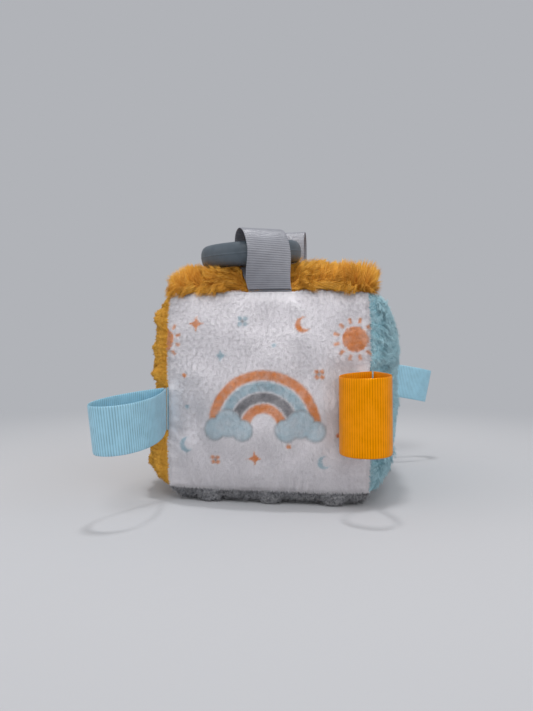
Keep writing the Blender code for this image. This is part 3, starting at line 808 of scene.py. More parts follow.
def nearest_clump(places, cells, rng):
    """For each place the middle of the clump that it belongs to, and that clump's number."""
    jitter = rng.uniform(*CLUMP_JITTER, (cells + 2, cells + 2, 2))
    at = (places + 1) / 2 * cells
    home = np.clip(np.floor(at).astype(int), 0, cells - 1)
    best = np.full(len(places), np.inf)
    middle = np.zeros_like(places)
    clump = np.zeros(len(places), int)
    for di in (-1, 0, 1):
        for dj in (-1, 0, 1):
            i, j = home[:, 0] + di, home[:, 1] + dj
            centre = np.stack([i, j], axis=-1) + jitter[i + 1, j + 1]
            away = np.linalg.norm(at - centre, axis=1)
            nearer = away < best
            best = np.where(nearer, away, best)
            middle[nearer] = centre[nearer]
            clump = np.where(nearer, (i + 1) * (cells + 2) + j + 1, clump)
    return np.clip(middle / cells * 2 - 1, -1, 1), clump


def shade_as_cloth(piece, own, cloth_normals):
    """Shading normals for strands, part their own and part those of the cloth they stand on.

    Light that goes through real fibres evens their shading out in the same way."""
    shading = unit((1 - CLOTH_SHADING) * own + CLOTH_SHADING * cloth_normals)
    piece.data.normals_split_custom_set_from_vertices(shading.astype(np.float32))


def add_strands(name, roots, middles, tips, radius, segments, rng, normals, curl=None):
    """Closed three-sided strands, each on a quadratic curve from root to tip past its middle.

    The point at share t is (1-t)^2 root + 2t(1-t) middle + t^2 tip, its radius falls with one
    minus t to the power 1.5, and a crinkle adds a sine across the strand."""
    count = len(roots)
    share = np.arange(segments) / segments
    t = share[None, :, None]
    line = (1 - t) ** 2 * roots[:, None] + 2 * t * (1 - t) * middles[:, None]
    line = line + t**2 * tips[:, None]
    ahead = unit(tips - roots)
    across = unit(np.cross(ahead, rng.normal(size=(count, 3))))
    third = np.cross(ahead, across)
    if curl is not None:
        phase = rng.uniform(0, 2 * np.pi, (count, 1))
        swing = curl[:, None] * np.sin(CRINKLE_TURN * share[None, :] + phase) * np.sqrt(share)
        line = line + swing[:, :, None] * across[:, None, :]
    angles = np.arange(STRAND_SIDES)[None, :, None] * 2 * np.pi / STRAND_SIDES
    offset = np.cos(angles) * across[:, None] + np.sin(angles) * third[:, None]
    thick = radius[:, None] * (1 - share**STRAND_TAPER)[None, :]
    rings = line[:, :, None] + thick[:, :, None, None] * offset[:, None]
    points = np.concatenate([rings.reshape(count, -1, 3), tips[:, None]], axis=1)
    one = [(0, 2, 1)]
    tip = STRAND_SIDES * segments
    for low in range(0, tip, STRAND_SIDES):
        high = low + STRAND_SIDES
        for a in range(STRAND_SIDES):
            b = (a + 1) % STRAND_SIDES
            if high < tip:
                one += [(low + a, low + b, high + b), (low + a, high + b, high + a)]
            else:
                one += [(low + a, low + b, tip)]
    faces = np.array(one)[None] + (np.arange(count) * (tip + 1))[:, None, None]
    made = add_mesh(name, points.reshape(-1, 3), [faces.reshape(-1, 3)])
    own = np.concatenate([np.tile(offset, (1, segments, 1)), ahead[:, None]], axis=1)
    shade_as_cloth(made, own.reshape(-1, 3), np.repeat(normals, tip + 1, axis=0))
    along = np.concatenate([np.repeat(share, STRAND_SIDES), [1.0]])
    give_value(made, "share", np.tile(along, count))
    give_value(made, "tint", np.repeat(rng.uniform(0, 1, count), tip + 1))
    return made


def with_edges(places, rng):
    """The same places and some more in a narrow band along the panel's four seams."""
    count = int(EDGE_SHARE * len(places))
    along = rng.uniform(-1, 1, count)
    inward = rng.choice([-1, 1], count) * (1 - EDGE_BAND * rng.uniform(0, 1, count))
    turned = rng.random(count) < 0.5
    band = np.stack([np.where(turned, inward, along), np.where(turned, along, inward)], axis=-1)
    return np.concatenate([places, band])


def over_seams(places):
    """A pair at each place that points out over the nearest seam, and nothing further in."""
    return np.sign(places) * smooth_step(np.abs(places), 1 - 2 * EDGE_BAND, 1.0)


def beside_ribbons(panel, places, depth):
    """Share of the pile that stands, and a pair that points away from the nearest ribbon.

    The pile lies flat where a ribbon comes out of a seam, to some depth in from the seam."""
    standing, away = np.ones(len(places)), np.zeros(places.shape)
    for along, across, side, offset, beside, inwards in ribbons_on(panel, places):
        inwards = inwards - depth
        clear = np.maximum(beside, inwards)
        standing = np.minimum(standing, np.clip(clear / PARTING_BLEND, 0, 1))
        push = np.clip(1 - clear / PARTING_PUSH, 0, 1)
        away[:, along] += push * np.sign(offset) * (beside > inwards)
        away[:, across] -= push * side * (inwards >= beside)
    return standing, away


def tuft_valleys(places):
    """Depth of the hollows between the fur's tufts: a sine along each diagonal."""
    x, y = laid_flat(TOP, places).T
    turn = 2 * math.pi / TUFT_PITCH
    return TUFT_DEPTH * (1 - np.sin(turn * (x + y)) * np.sin(turn * (x - y))) / 2


def pile_height(panel, places):
    """How high the pile stands: full over the panel and nothing at its seams.

    The fur stands up nearly to its seams, and highest at its right end and its front."""
    u, v = places.T
    thickness = panel.pile
    ends = (PILE_FULLNESS, PILE_FULLNESS)
    if panel is TOP:
        ends = FUR_FULLNESS
        raised = RIGHT_RISE * smooth_step(u, *RIGHT_END) + FRONT_RISE * smooth_step(-v, *FRONT_END)
        thickness = thickness - tuft_valleys(places) * (1 - smooth_step(u, *TUFTS_END)) + raised
    return thickness * (1 - np.abs(u) ** ends[0]) * (1 - np.abs(v) ** ends[1])


def under_ring(points):
    """The same points, pressed down where the ring lies on them."""
    turn, centre = ring_place()
    away = points - centre
    high = away @ turn[:, 2]
    beside = np.linalg.norm(away - high[..., None] * turn[:, 2], axis=-1) - RING_OUTSIDE / 2
    share = np.clip(1 - (beside - RING_PRESS_MARGIN) / RING_PRESS_BLEND, 0, 1)
    sunk = np.maximum(high + RING_HEIGHT / 2 + RING_PRESS_GAP, 0) * share
    return points - sunk[..., None] * turn[:, 2]


def comb(panel, places, ways):
    """Directions over a panel from pairs along its two lateral axes."""
    first, second = lateral_axes(panel.axis)
    found = np.zeros((len(places), 3))
    found[:, first], found[:, second] = ways[:, 0], ways[:, 1]
    return found


def swirl(panel, places, length, seed):
    """A smooth random pair at each place, for the lie of the pile."""
    flat = laid_flat(panel, places)
    return np.stack([waves(flat, length, seed), waves(flat, length, seed + 1)], axis=-1)


def smooth_step(value, low, high):
    """A share that grows from 0 at low to 1 at high: three of its square less two of its cube."""
    share = np.clip((value - low) / (high - low), 0, 1)
    return share * share * (3 - 2 * share)


def wrapped(x, z, middle):
    """Place from a motif's middle, in a print that repeats."""
    settings = cloth()
    width, height = settings.repeat_width, settings.repeat_height
    return (
        (x - middle[0] + width / 2) % width - width / 2,
        (z - middle[1] + height / 2) % height - height / 2,
    )


def inside(distance):
    """Ink weight from a signed distance: full inside, none outside, soft over the edge."""
    return 1 - smooth_step(distance, -INK_EDGE, INK_EDGE)


def inked(weight, ink):
    """Weights of the three inks, with nothing of two of them."""
    inks = np.zeros(weight.shape + (3,))
    inks[..., ink] = weight
    return inks


def union_of_discs(x, z, discs):
    """Distance to the nearest of several discs, below zero inside one."""
    return np.min([np.hypot(x - cx, z - cz) - radius for cx, cz, radius in discs], axis=0)


def rainbow(x, z):
    """Four broad arches, one inside another, that stand on two small clouds."""
    x, z = x / RAINBOW_SCALE, z / RAINBOW_SCALE
    away = np.hypot(x, z)
    inks = np.zeros(x.shape + (3,))
    for radius, ink, strength in ARCHES:
        band = np.maximum(np.abs(away - radius) - ARCH_HALF_WIDTH, -z)
        inks = np.maximum(inks, inked(inside(band) * strength, ink))
    for side in (-1, 1):
        cloud = union_of_discs(x - side * CLOUD_PLACE[0], z - CLOUD_PLACE[1], PUFFS)
        puff = inside(cloud)
        inks = np.maximum(inks * (1 - puff[..., None]), inked(puff * CLOUD_INK, 1))
        rim = inside(np.abs(cloud) - CLOUD_RIM) * CLOUD_RIM_INK
        inks = np.maximum(inks, inked(rim, 2))
    return inks


def sun(x, z):
    """A plain disc with twelve short rays round it."""
    away, turn = np.hypot(x, z), np.arctan2(z, x)
    disc = inside(away - SUN_RADIUS)
    aside = np.abs((turn * SUN_RAYS / (2 * np.pi)) % 1 - 0.5) * away / 2 - RAY_HALF_WIDTH
    rays = inside(np.maximum(aside, np.abs(away - RAY_MIDDLE) - RAY_HALF_LENGTH))
    return inked(np.maximum(disc, rays * RAY_INK), 0)


def moon(x, z, radius, ink):
    """A crescent: one disc less a slightly smaller one that is shifted by half a radius."""
    aside, up = MOON_SHIFT
    bitten = MOON_BITE * radius - np.hypot(x - aside * radius, z - up * radius)
    return inked(inside(np.maximum(np.hypot(x, z) - radius, bitten)), ink)


def sparkle(x, z, radius, ink):
    """A four-pointed glint, where the roots of both distances add up to the root of the radius."""
    spread = (np.sqrt(np.abs(x)) + np.sqrt(np.abs(z))) ** 2
    return inked(inside((spread - radius) / 2), ink)


def flower(x, z, radius, ink):
    """Four round petals, about a radius from the middle each, round a dot of the dark ink."""
    ways = ((1, 0), (-1, 0), (0, 1), (0, -1))
    discs = [(radius * cx, radius * cz, PETAL_RADIUS * radius) for cx, cz in ways]
    petals = union_of_discs(PETALS_CLOSER * (x + z), PETALS_CLOSER * (z - x), discs)
    heart = inside(np.hypot(x, z) - HEART_RADIUS * radius)
    outer = inked(inside(petals) * PETAL_INK, ink) * (1 - heart[..., None])
    return outer + inked(HEART_INK * heart, 2)


def dot(x, z, radius, ink):
    """A small round dot."""
    return inked(inside(np.hypot(x, z) - radius), ink)


# Each motif of the print's repeat: its shape, its middle, its radius and its ink
PRINT = [
    (rainbow, (0.0000, -0.0170)),
    (sun, (0.0440, 0.0260)),
    (moon, (0.0190, 0.0330), 0.0038, 0),
    (moon, (-0.0400, -0.0270), 0.0036, 1),
    (moon, (0.0290, -0.0340), 0.0032, 1),
    (sparkle, (-0.0350, 0.0340), 0.0048, 0),
    (sparkle, (-0.0220, 0.0180), 0.0040, 1),
    (sparkle, (-0.0050, -0.0330), 0.0046, 0),
    (sparkle, (0.0400, -0.0050), 0.0034, 0),
    (flower, (-0.0110, 0.0350), 0.0022, 1),
    (flower, (0.0270, 0.0090), 0.0020, 0),
    (flower, (-0.0250, -0.0340), 0.0019, 0),
    (dot, (-0.0410, 0.0080), 0.0011, 0),
    (dot, (0.0050, 0.0230), 0.0010, 1),
    (dot, (0.0120, -0.0260), 0.0011, 0),
    (dot, (-0.0400, -0.0080), 0.0010, 1),
    (dot, (0.0360, -0.0210), 0.0011, 0),
]


def print_inks(panel, points):
    """Ink weights of the repeating print at points on a panel: apricot, blue and charcoal."""
    x = points[:, 0] * -panel.side
    z = points[:, 2] - CENTRE[2]
    if panel is BACK:
        x, z = x + BACK_SHIFT[0], z + BACK_SHIFT[1]
    inks = np.zeros((len(points), 3))
    for shape, middle, *form in PRINT:
        inks = np.maximum(inks, shape(*wrapped(x, z, middle), *form))
    return inks


def vertex_points(piece):
    """The points of a piece's mesh."""
    points = np.empty(len(piece.data.vertices) * 3, np.float32)
    piece.data.vertices.foreach_get("co", points)
    return points.reshape(-1, 3).astype(float)


def above_floor(points):
    """The same points, none of them lower than the floor."""
    points[..., 2] = np.maximum(points[..., 2], FLOOR_GAP)
    return points


def add_short_pile(panel, name, count, length, pile):
    """Short straight strands that lean with a slow swirl and a quick one, and all one way.

    A strand's way is the cloth's normal plus its lean, more outwards at the seams and away from
    a ribbon. Its length varies by a normal draw on plush and by an even one on a nap."""
    rng = np.random.default_rng(pile.seed + PANELS.index(panel))
    places = with_edges(scattered(count, rng), rng)
    roots, normals = surface_and_normal(panel, *places.T)
    lively = 1 - pile.calm * (1 - smooth_step(places[:, 1], *CALM_LOW_DOWN)[:, None])
    lean = pile.slow[0] * swirl(panel, places, pile.slow[1], pile.seed + 1)
    lean += pile.quick[0] * lively * swirl(panel, places, pile.quick[1], pile.seed + 3)
    lean += rng.normal(0, pile.scatter, lean.shape) * lively + np.array(pile.lean)
    standing, away = beside_ribbons(panel, places, SHORT_PARTING_DEPTH)
    outwards = standing[:, None] * over_seams(places)
    ways = unit(normals + comb(panel, places, pile.combed * lean + pile.over * outwards + away))
    if pile is PLUSH:
        tuft = lively[:, 0] * waves(roots, TUFT_SIZE, pile.seed + 5)
        lengths = length * (1 + pile.tufts * tuft + rng.normal(0, pile.lengths, len(roots)))
    else:
        lengths = length * rng.uniform(1 - pile.lengths, 1 + pile.lengths, len(roots))
    lengths *= 1 - pile.parted * (1 - standing)
    tips = above_floor(roots + ways * lengths[:, None])
    sunk = above_floor(roots - pile.depth * normals)
    radius = rng.uniform(*pile.radii, len(roots))
    made = add_strands(name, sunk, (sunk + tips) / 2, tips, radius, 1, rng, normals)
    if pile is PLUSH:
        give_ink(made, np.repeat(print_inks(panel, roots), STRAND_SIDES + 1, axis=0))
    return made


def lying(normals, combing, height, length):
    """From root to tip: the pile's height along the normal and the rest along the combing.

    A strand is no shorter than its pile is high, and not much longer."""
    length = np.clip(length, height, LEAN_RATIO * height + LEAN_LENGTH)
    flat = combing - np.sum(combing * normals, axis=1, keepdims=True) * normals
    sideways = np.sqrt(np.maximum(length**2 - height**2, 0))
    return height[:, None] * normals + sideways[:, None] * unit(flat)


def combed(panel, places, pile):
    """A long pile's combing as pairs along the panel's axes, and its share of full length.

    Each zone adds its changes by a smooth step along one share of the panel."""
    slow, quick = pile.slow[0], pile.quick[0]
    size_of_change = pile.length[2]
    ways = np.array(pile.combing) + 0 * places
    share = pile.length[0] + pile.length[1] * waves(places, size_of_change, pile.seed + 5)
    for zone in pile.zones:
        step = smooth_step(zone.side * places[:, zone.share], zone.low, zone.high)
        ways += step[:, None] * np.array(zone.combing)
        slow, quick = slow + zone.slow * step, quick + zone.quick * step
        share = share + zone.length * step
    for weight, length, seed in ((slow, pile.slow[1], 1), (quick, pile.quick[1], 3)):
        ways += np.reshape(weight, (-1, 1)) * swirl(panel, places, length, pile.seed + seed)
    return ways, share


def add_long_pile(panel, pile, count, length):
    """Long pile in clumps, shared out over several pieces.

    A strand starts along the cloth's normal and ends along its combing, where the pile's height
    allows. Its tip is drawn towards the tip of its clump by the pile's hold."""
    rng = np.random.default_rng(pile.seed + 10)
    places = with_edges(scattered(count * len(pile.names), rng), rng)
    middles, clump = nearest_clump(places, pile.cells, rng)
    each_clump = (pile.cells + 2) ** 2
    wild = rng.normal(0, CLUMP_WANDER, (each_clump, 2))[clump]
    vary = rng.uniform(*CLUMP_LENGTHS, each_clump)[clump]
    found = []
    for at, own in ((places, 1.0), (middles, 0.0)):
        base, normals = surface_and_normal(panel, *at.T)
        standing, away = beside_ribbons(panel, at, PARTING_DEPTH)
        ways, scale = combed(panel, at, pile)
        scatter = own * rng.normal(0, STRAND_WANDER, at.shape)
        outwards = np.array(pile.over) * standing[:, None] * over_seams(at)
        ways = ways + wild + scatter + LONG_PUSH * away + outwards
        spread = 1 + own * rng.uniform(*STRAND_LENGTHS, len(at))
        height = pile_height(panel, at) * standing * vary * spread
        reach = lying(normals, comb(panel, at, ways), height, length * scale * vary * spread)
        found.append((base, reach, normals))
    (roots, own_reach, normals), (centre, shared_reach, _) = found
    tips = roots + own_reach
    tips = tips + pile.hold * (centre + shared_reach - tips)
    lengths = np.linalg.norm(own_reach, axis=1)[:, None]
    tips = tips + rng.normal(0, TIP_WANDER, tips.shape) * lengths
    upright = np.sum(own_reach * normals, axis=1)[:, None] * normals
    bends = roots + UPRIGHT_SHARE * upright + (1 - UPRIGHT_SHARE) * own_reach
    bends = bends + BEND_HOLD * pile.hold * (centre + shared_reach / 2 - bends)
    if panel is TOP:
        bends, tips = under_ring(bends), under_ring(tips)
    sunk = roots - ROOT_DEPTH * normals
    radius = rng.uniform(*pile.radii, len(roots))
    shade = rng.uniform(0, 1, each_clump)[clump]
    made = []
    for k, name in enumerate(pile.names):
        chosen = np.arange(k, len(roots), len(pile.names))
        curl = CRINKLE * rng.uniform(*CRINKLES, len(chosen))
        form = (part[chosen] for part in (sunk, bends, tips, radius))
        piece = add_strands(name, *form, PILE_SEGMENTS, rng, normals[chosen], curl)
        each = len(piece.data.vertices) // len(chosen)
        give_value(piece, "clump", np.repeat(shade[chosen], each))
        made.append(piece)
    return made


def fold_line(loop):
    """The folded ribbon's middle line in reach and opening.

    The reach is half of one minus the cosine of the turn. The opening is its sine times a power
    of the sine of half the turn."""
    turn = np.linspace(0, 2 * math.pi, OUTLINE_SAMPLES)
    opening = loop.spread * np.sin(turn) * np.sin(turn / 2) ** loop.roundness
    first = turn[np.argmax(opening > LEAST_OPENING)]
    turn = np.linspace(first, 2 * math.pi - first, OUTLINE_SAMPLES)
    reach = loop.reach * (1 - np.cos(turn)) / 2
    opening = loop.spread * np.sin(turn) * np.sin(turn / 2) ** loop.roundness
    line = np.stack([reach, opening], axis=1)
    ahead = unit(np.gradient(line, axis=0))
    normal = np.stack([-ahead[:, 1], ahead[:, 0]], axis=1)
    return line + 0.5 * RIBBON_THICKNESS * normal


def out_of_seam(along, sides):
    """Unit vector out of a seam, midway between its two panels."""
    first, second = lateral_axes(along)
    way = np.zeros(3)
    way[first], way[second] = sides
    return unit(way)


def seam_points(along, sides, places, inset):
    """Points on the seam that runs along one axis, inset towards the middle of the block."""
    first, second = lateral_axes(along)
    shares = places / HALF[along]
    draw = corner_draw(shares, shares if along == 2 else sides[1])
    points = np.zeros(places.shape + (3,))
    points[..., along] = places
    points[..., first] = sides[0] * (HALF[first] - inset) * draw
    points[..., second] = sides[1] * (HALF[second] - inset) * draw
    return points + CENTRE


def hinge_point(loop):
    """Where a loop bends: on its seam, a little proud of it."""
    at = seam_points(loop.along, loop.sides, np.array(loop.place), 0.0)
    return at + HINGE_PROUD * out_of_seam(loop.along, loop.sides)


def loop_frame(loop):
    """Directions of a loop's reach, of the opening between its legs and of its width."""
    first, second = lateral_axes(loop.along)
    reach, width = np.zeros(3), np.zeros(3)
    heading = math.radians(loop.heading)
    reach[first], reach[second] = math.cos(heading), math.sin(heading)
    width[loop.along] = 1.0
    return reach, np.cross(width, reach), width


def carried(loop, line, across):
    """Line points in space at places across the ribbon.

    The lean, droop, roll, twist, slant and skew all grow from nothing at the seam."""
    ahead, apart, width = loop_frame(loop)
    reach, opening = line[:, :1], line[:, 1:]
    share = np.clip(reach / loop.reach, 0, 1)
    lean = opening + loop.lean * share**2
    turned = np.clip(share / TWISTED_BY_SHARE, 0, 1)
    turn = math.radians(loop.roll) * share
    turn = turn + math.radians(loop.twist) * np.sin(turned * math.pi / 2)
    across = across[None, :]
    way = -1 if loop.along == 2 else 1
    side = lean * np.cos(turn) + way * across * np.sin(turn)
    wide = across * np.cos(turn) - way * lean * np.sin(turn) + loop.slant * share
    reach = reach + across * math.sin(math.radians(loop.skew)) * share
    points = reach[..., None] * ahead + side[..., None] * apart + wide[..., None] * width
    points[..., 2] -= loop.droop * share**DROOP_POWER
    return points + hinge_point(loop)


def ribbon_steps(length):
    """How many steps show a ribbon's ribs along some length."""
    return int(round(length / trim().rib_pitch * STEPS_A_RIB))


def strip(name, middle, along, across):
    """A closed grosgrain strip round a grid of middle points.

    Each face stands off the middle by half the thickness less the rib height, plus the rib
    height times a power of the sine's size along the ribbon. Both selvedges are rounded."""
    settings = trim()
    width_way = np.gradient(middle, axis=1)
    normal = unit(np.cross(np.gradient(middle, axis=0), width_way))
    ridge = np.abs(np.sin(np.pi * along / settings.rib_pitch)) ** RIB_POWER
    edge = np.abs(across) / np.max(np.abs(across))
    rounded = 1 + SELVEDGE_THIN - smooth_step(edge, SELVEDGE, 1.0)
    thin = np.sqrt(np.clip(rounded, SELVEDGE_THIN, 1))
    base = RIBBON_THICKNESS / 2 - settings.rib_height
    off = ((base + settings.rib_height * ridge)[:, None] * thin[None, :])[..., None]
    bulge = ((edge > SELVEDGE_EDGE) * np.sign(across))[None, :] * ridge[:, None] * settings.picot
    middle = middle + bulge[..., None] * unit(width_way)
    both = np.stack([middle + off * normal, middle - off * normal])
    rows, columns = both.shape[1:3]
    count = rows * columns
    down, right = np.arange(rows - 1), np.arange(columns - 1)
    upper_ring = np.concatenate(
        [
            down * columns,
            (rows - 1) * columns + right,
            (rows - 1 - down) * columns + columns - 1,
            columns - 1 - right,
        ]
    )
    groups = [
        grid_faces(rows, columns),
        grid_faces(rows, columns, count)[:, ::-1],
        band_faces(upper_ring, upper_ring + count),
    ]
    made = add_mesh(name, both.reshape(-1, 3), groups)
    give_lines(made, *np.broadcast_arrays(along[None, :, None], across + np.zeros((2, 1, 1))))
    # The rib share, which the material uses to paint shade into the valleys between the ribs
    give_value(made, "rib", np.tile(np.repeat(ridge, columns), 2))
    return made


def across_places(width):
    """Places across a ribbon, closer together towards its selvedges."""
    shares = np.array(ACROSS_SHARES)
    return np.concatenate([-shares, [0.0], shares[::-1]]) * (width / 2)


def add_ribbon(loop):
    """The free part of a ribbon, its two ends laid together in the seam, and its free length."""
    line = fold_line(loop)
    steps = np.diff(carried(loop, line, np.zeros(1))[:, 0], axis=0)
    gone = np.concatenate([[0], np.cumsum(np.linalg.norm(steps, axis=1))])
    along = np.linspace(0, gone[-1], ribbon_steps(gone[-1]) + 1)
    even = np.stack([np.interp(along, gone, line[:, k]) for k in range(2)], axis=1)
    across = across_places(loop.width)
    name = loop.name.replace("ribbon", "grosgrain")
    free = strip(f"{name}_loop", carried(loop, even, across), along, across)
    ends = []
    out, width_way = out_of_seam(loop.along, loop.sides), loop_frame(loop)[2]
    apart = np.cross(width_way, out)
    depth = np.linspace(RIBBON_THICKNESS + END_START, CUT_EDGE, ribbon_steps(CUT_EDGE) + 1)
    for side in (-1, 1):
        middle = hinge_point(loop) + side * END_APART * RIBBON_THICKNESS * apart
        grid = middle - depth[:, None, None] * out + across[None, :, None] * width_way
        ends.append(strip(f"{name}_end", grid, depth, across))
    return free, joined(ends, f"{name}_ends"), gone[-1]


def joined(pieces, name):
    """Several pieces joined into one, under one name."""
    with bpy.context.temp_override(
        active_object=pieces[0], selected_objects=pieces, selected_editable_objects=pieces
    ):
        bpy.ops.object.join()
    pieces[0].name = name
    pieces[0].data.name = name
    return pieces[0]


def add_stitches(name, along, sides, start, end, pitch, length):
    """A row of stitches along a seam: small closed sausages whose ends dip into the cloth.

    A sausage's radius is the thread's times the root of one minus its length share squared."""
    count = max(int((end - start) / pitch), 1)
    middles = start + (np.arange(count) + 0.5) * (end - start) / count
    t = np.sin(np.linspace(-np.pi / 2, np.pi / 2, STITCH_RINGS))
    angle = np.arange(STITCH_SIDES)[:, None] * 2 * np.pi / STITCH_SIDES
    line = seam_points(along, sides, middles[:, None] + t[None, :] * length / 2, STITCH_INSET)
    out = out_of_seam(along, sides)
    line = line + (STITCH_PROUD - STITCH_DIP * t**2)[None, :, None] * out
    third = np.cross(np.eye(3)[along], out)
    thick = THREAD_RADIUS * np.maximum(np.sqrt(1 - t**2), STITCH_TIP)
    spoke = np.cos(angle) * out + np.sin(angle) * third
    points = line[:, :, None] + thick[None, :, None, None] * spoke[None, None]
    numbers = np.arange(STITCH_RINGS * STITCH_SIDES).reshape(STITCH_RINGS, STITCH_SIDES)
    following = np.roll(numbers, -1, axis=1)
    round_one = np.stack([numbers[:-1], following[:-1], following[1:], numbers[1:]], axis=-1)
    caps = np.stack([numbers[0][::-1], numbers[-1]])
    shift = (np.arange(count) * numbers.size)[:, None, None]
    groups = [
        (round_one.reshape(1, -1, 4) + shift).reshape(-1, 4),
        (caps[None] + shift).reshape(-1, STITCH_SIDES),
    ]
    return add_mesh(name, points.reshape(-1, 3), groups)


def seam_name(along, sides):
    """The two panels that a seam joins, in words."""
    words = [("left", "right"), ("front", "back"), ("bottom", "top")]
    found = {axis: words[axis][side > 0] for axis, side in zip(lateral_axes(along), sides)}
    return "_".join(found[axis] for axis in (2, 1, 0) if axis in found)


def seam_lengths():
    """Every length of thread between ribbons, as its node's name, seam, start and end."""
    found = []
    for along in range(3):
        limit = HALF[along] - THREAD_END
        for sides in [(-1, -1), (-1, 1), (1, -1), (1, 1)]:
            caught = [loop for loop in LOOPS if (loop.along, loop.sides) == (along, sides)]
            rooms = [(loop.place, loop.width / 2 + THREAD_ROOM) for loop in caught]
            breaks = [(place - room, place + room) for place, room in rooms]
            if (along, sides) == CLOSED_SEAM:
                half = CLOSING_LENGTH / 2
                found.append(("closing_stitch_thread", along, sides, -half, half))
                breaks.append((-half - THREAD_GAP, half + THREAD_GAP))
            ends = [-limit, *(place for pair in breaks for place in pair), limit]
            name = seam_name(along, sides) + "_seam_thread"
            for count, (start, end) in enumerate(zip(ends[::2], ends[1::2]), 1):
                found.append((f"{name}_{count}" if breaks else name, along, sides, start, end))
    return found


def filling_mesh(name):
    """One body of fibre: a lumpy crowned pad behind each panel, grooved for each allowance.

    Each pad's edge runs down to a foot beside the allowance. Strips join the feet of two panels
    under their seam, and a triangle closes each corner. Its faces are then all turned outward."""
    steps = FILLING_STEPS
    u, v, rows, columns = square(steps)
    edge_u, edge_v = u[rows, columns], v[rows, columns]
    inset = GAP_ACROSS + EDGE_ACROSS + FILLING_GAP
    depth = BACKING + FIBRE_DEPTH
    parts, groups, feet, start = [], [], {}, 0
    for panel in PANELS:
        flat = laid_flat(panel, np.stack([u, v], axis=-1))
        lumps = FIBRE_LUMP * (waves(flat, FIBRE_LUMP_SIZE, FIBRE_SEED) - FIBRE_SINK)
        lumps = lumps * (1 - u**FIBRE_END_POWER) * (1 - v**FIBRE_END_POWER)
        height = rise(panel, u, v, panel.crown) - depth + lumps
        pad = placed(panel, u, v, height, depth + inset, depth)
        foot = placed(panel, edge_u, edge_v, -ALLOWANCE_INSET, ALLOWANCE_INSET + inset)
        parts += [pad.reshape(-1, 3), foot]
        edge = start + rows * (steps + 1) + columns
        foot_numbers = start + (steps + 1) ** 2 + np.arange(len(rows))
        faces = [grid_faces(steps + 1, steps + 1, start), band_faces(edge, foot_numbers)]
        groups += faces if faces_outward(panel) else [face[:, ::-1] for face in faces]
        start += (steps + 1) ** 2 + len(rows)
        feet[panel.axis, panel.side] = (panel, foot_numbers, edge_u, edge_v)
    for along in range(3):
        first, second = lateral_axes(along)
        for side_a in (-1, 1):
            for side_b in (-1, 1):
                row_a = foot_row(feet[first, side_a], along, second, side_b)
                row_b = foot_row(feet[second, side_b], along, first, side_a)
                groups.append(np.stack([row_a[:-1], row_a[1:], row_b[1:], row_b[:-1]], axis=-1))
    for sides in np.stack(np.meshgrid((-1, 1), (-1, 1), (-1, 1)), axis=-1).reshape(-1, 3):
        corner = [foot_corner(feet[axis, sides[axis]], sides) for axis in range(3)]
        groups.append(np.array([corner]))
    made = add_mesh(name, np.concatenate(parts), groups)
    work = bmesh.new()
    work.from_mesh(made.data)
    bmesh.ops.recalc_face_normals(work, faces=work.faces)
    work.to_mesh(made.data)
    work.free()
    return made


def foot_row(foot, along, across, side):
    """Point numbers of one side of a pad's foot, in order along an axis."""
    panel, numbers, edge_u, edge_v = foot
    shares = dict(zip(lateral_axes(panel.axis), (edge_u, edge_v)))
    chosen = np.flatnonzero(np.isclose(shares[across], side))
    return numbers[chosen[np.argsort(shares[along][chosen])]]


def foot_corner(foot, sides):
    """The point number of one corner of a pad's foot."""
    panel, numbers, edge_u, edge_v = foot
    first, second = lateral_axes(panel.axis)
    there = np.isclose(edge_u, sides[first]) & np.isclose(edge_v, sides[second])
    return numbers[np.flatnonzero(there)[0]]


def ring_place():
    """The ring's own turn and its centre, from where its loop carries it."""
    ahead, _, width = loop_frame(RING_LOOP)
    carry = hinge_point(RING_LOOP) + ahead * RING_CARRY
    carry = carry + width * RING_LOOP.slant * RING_CARRY / RING_LOOP.reach
    turn = np.array(Matrix.Rotation(RING_RISE, 3, "X") @ Matrix.Rotation(RING_ROLL, 3, "Y"))
    middle = (RING_OUTSIDE - RING_BAND) / 2 - RING_AXIS_INSET
    back = math.sqrt(middle**2 - RING_SIDE_SHIFT**2)
    return turn, carry + turn @ np.array([-RING_SIDE_SHIFT, back, 0.0])


def squared_off(values, power):
    """A power of each value's size, with its sign kept."""
    return np.sign(values) * np.abs(values) ** power


def add_ring(name):
    """A turned silicone ring: a superellipse section carried round a circle.

    Its parting line is a low ridge round the middle of the outer and the inner face, whose
    height falls off as a bell curve. The section's points crowd there."""
    settings = trim()
    around = np.arange(RING_AROUND)[:, None] * 2 * np.pi / RING_AROUND
    even = np.arange(RING_SECTION) * 2 * np.pi / RING_SECTION
    section = even - RING_CROWDING * np.sin(2 * even)
    out = RING_BAND / 2 * squared_off(np.cos(section), 2 / RING_POWER)
    high = RING_HEIGHT / 2 * squared_off(np.sin(section), 2 / RING_POWER)
    ridge = settings.parting_height * np.exp(-((high / settings.parting_width) ** 2))
    flat = (RING_OUTSIDE - RING_BAND) / 2 + out + np.sign(out) * (ridge - settings.parting_height)
    points = np.stack([flat * np.cos(around), flat * np.sin(around), high + 0 * around], axis=-1)
    turn, centre = ring_place()
    points = points.reshape(-1, 3) @ turn.T + centre
    numbers = np.arange(len(points)).reshape(RING_AROUND, RING_SECTION)
    there = np.roll(numbers, -1, axis=0)
    corners = [numbers, there, np.roll(there, -1, axis=1), np.roll(numbers, -1, axis=1)]
    return add_mesh(name, points, [np.stack(corners, axis=-1).reshape(-1, 4)])


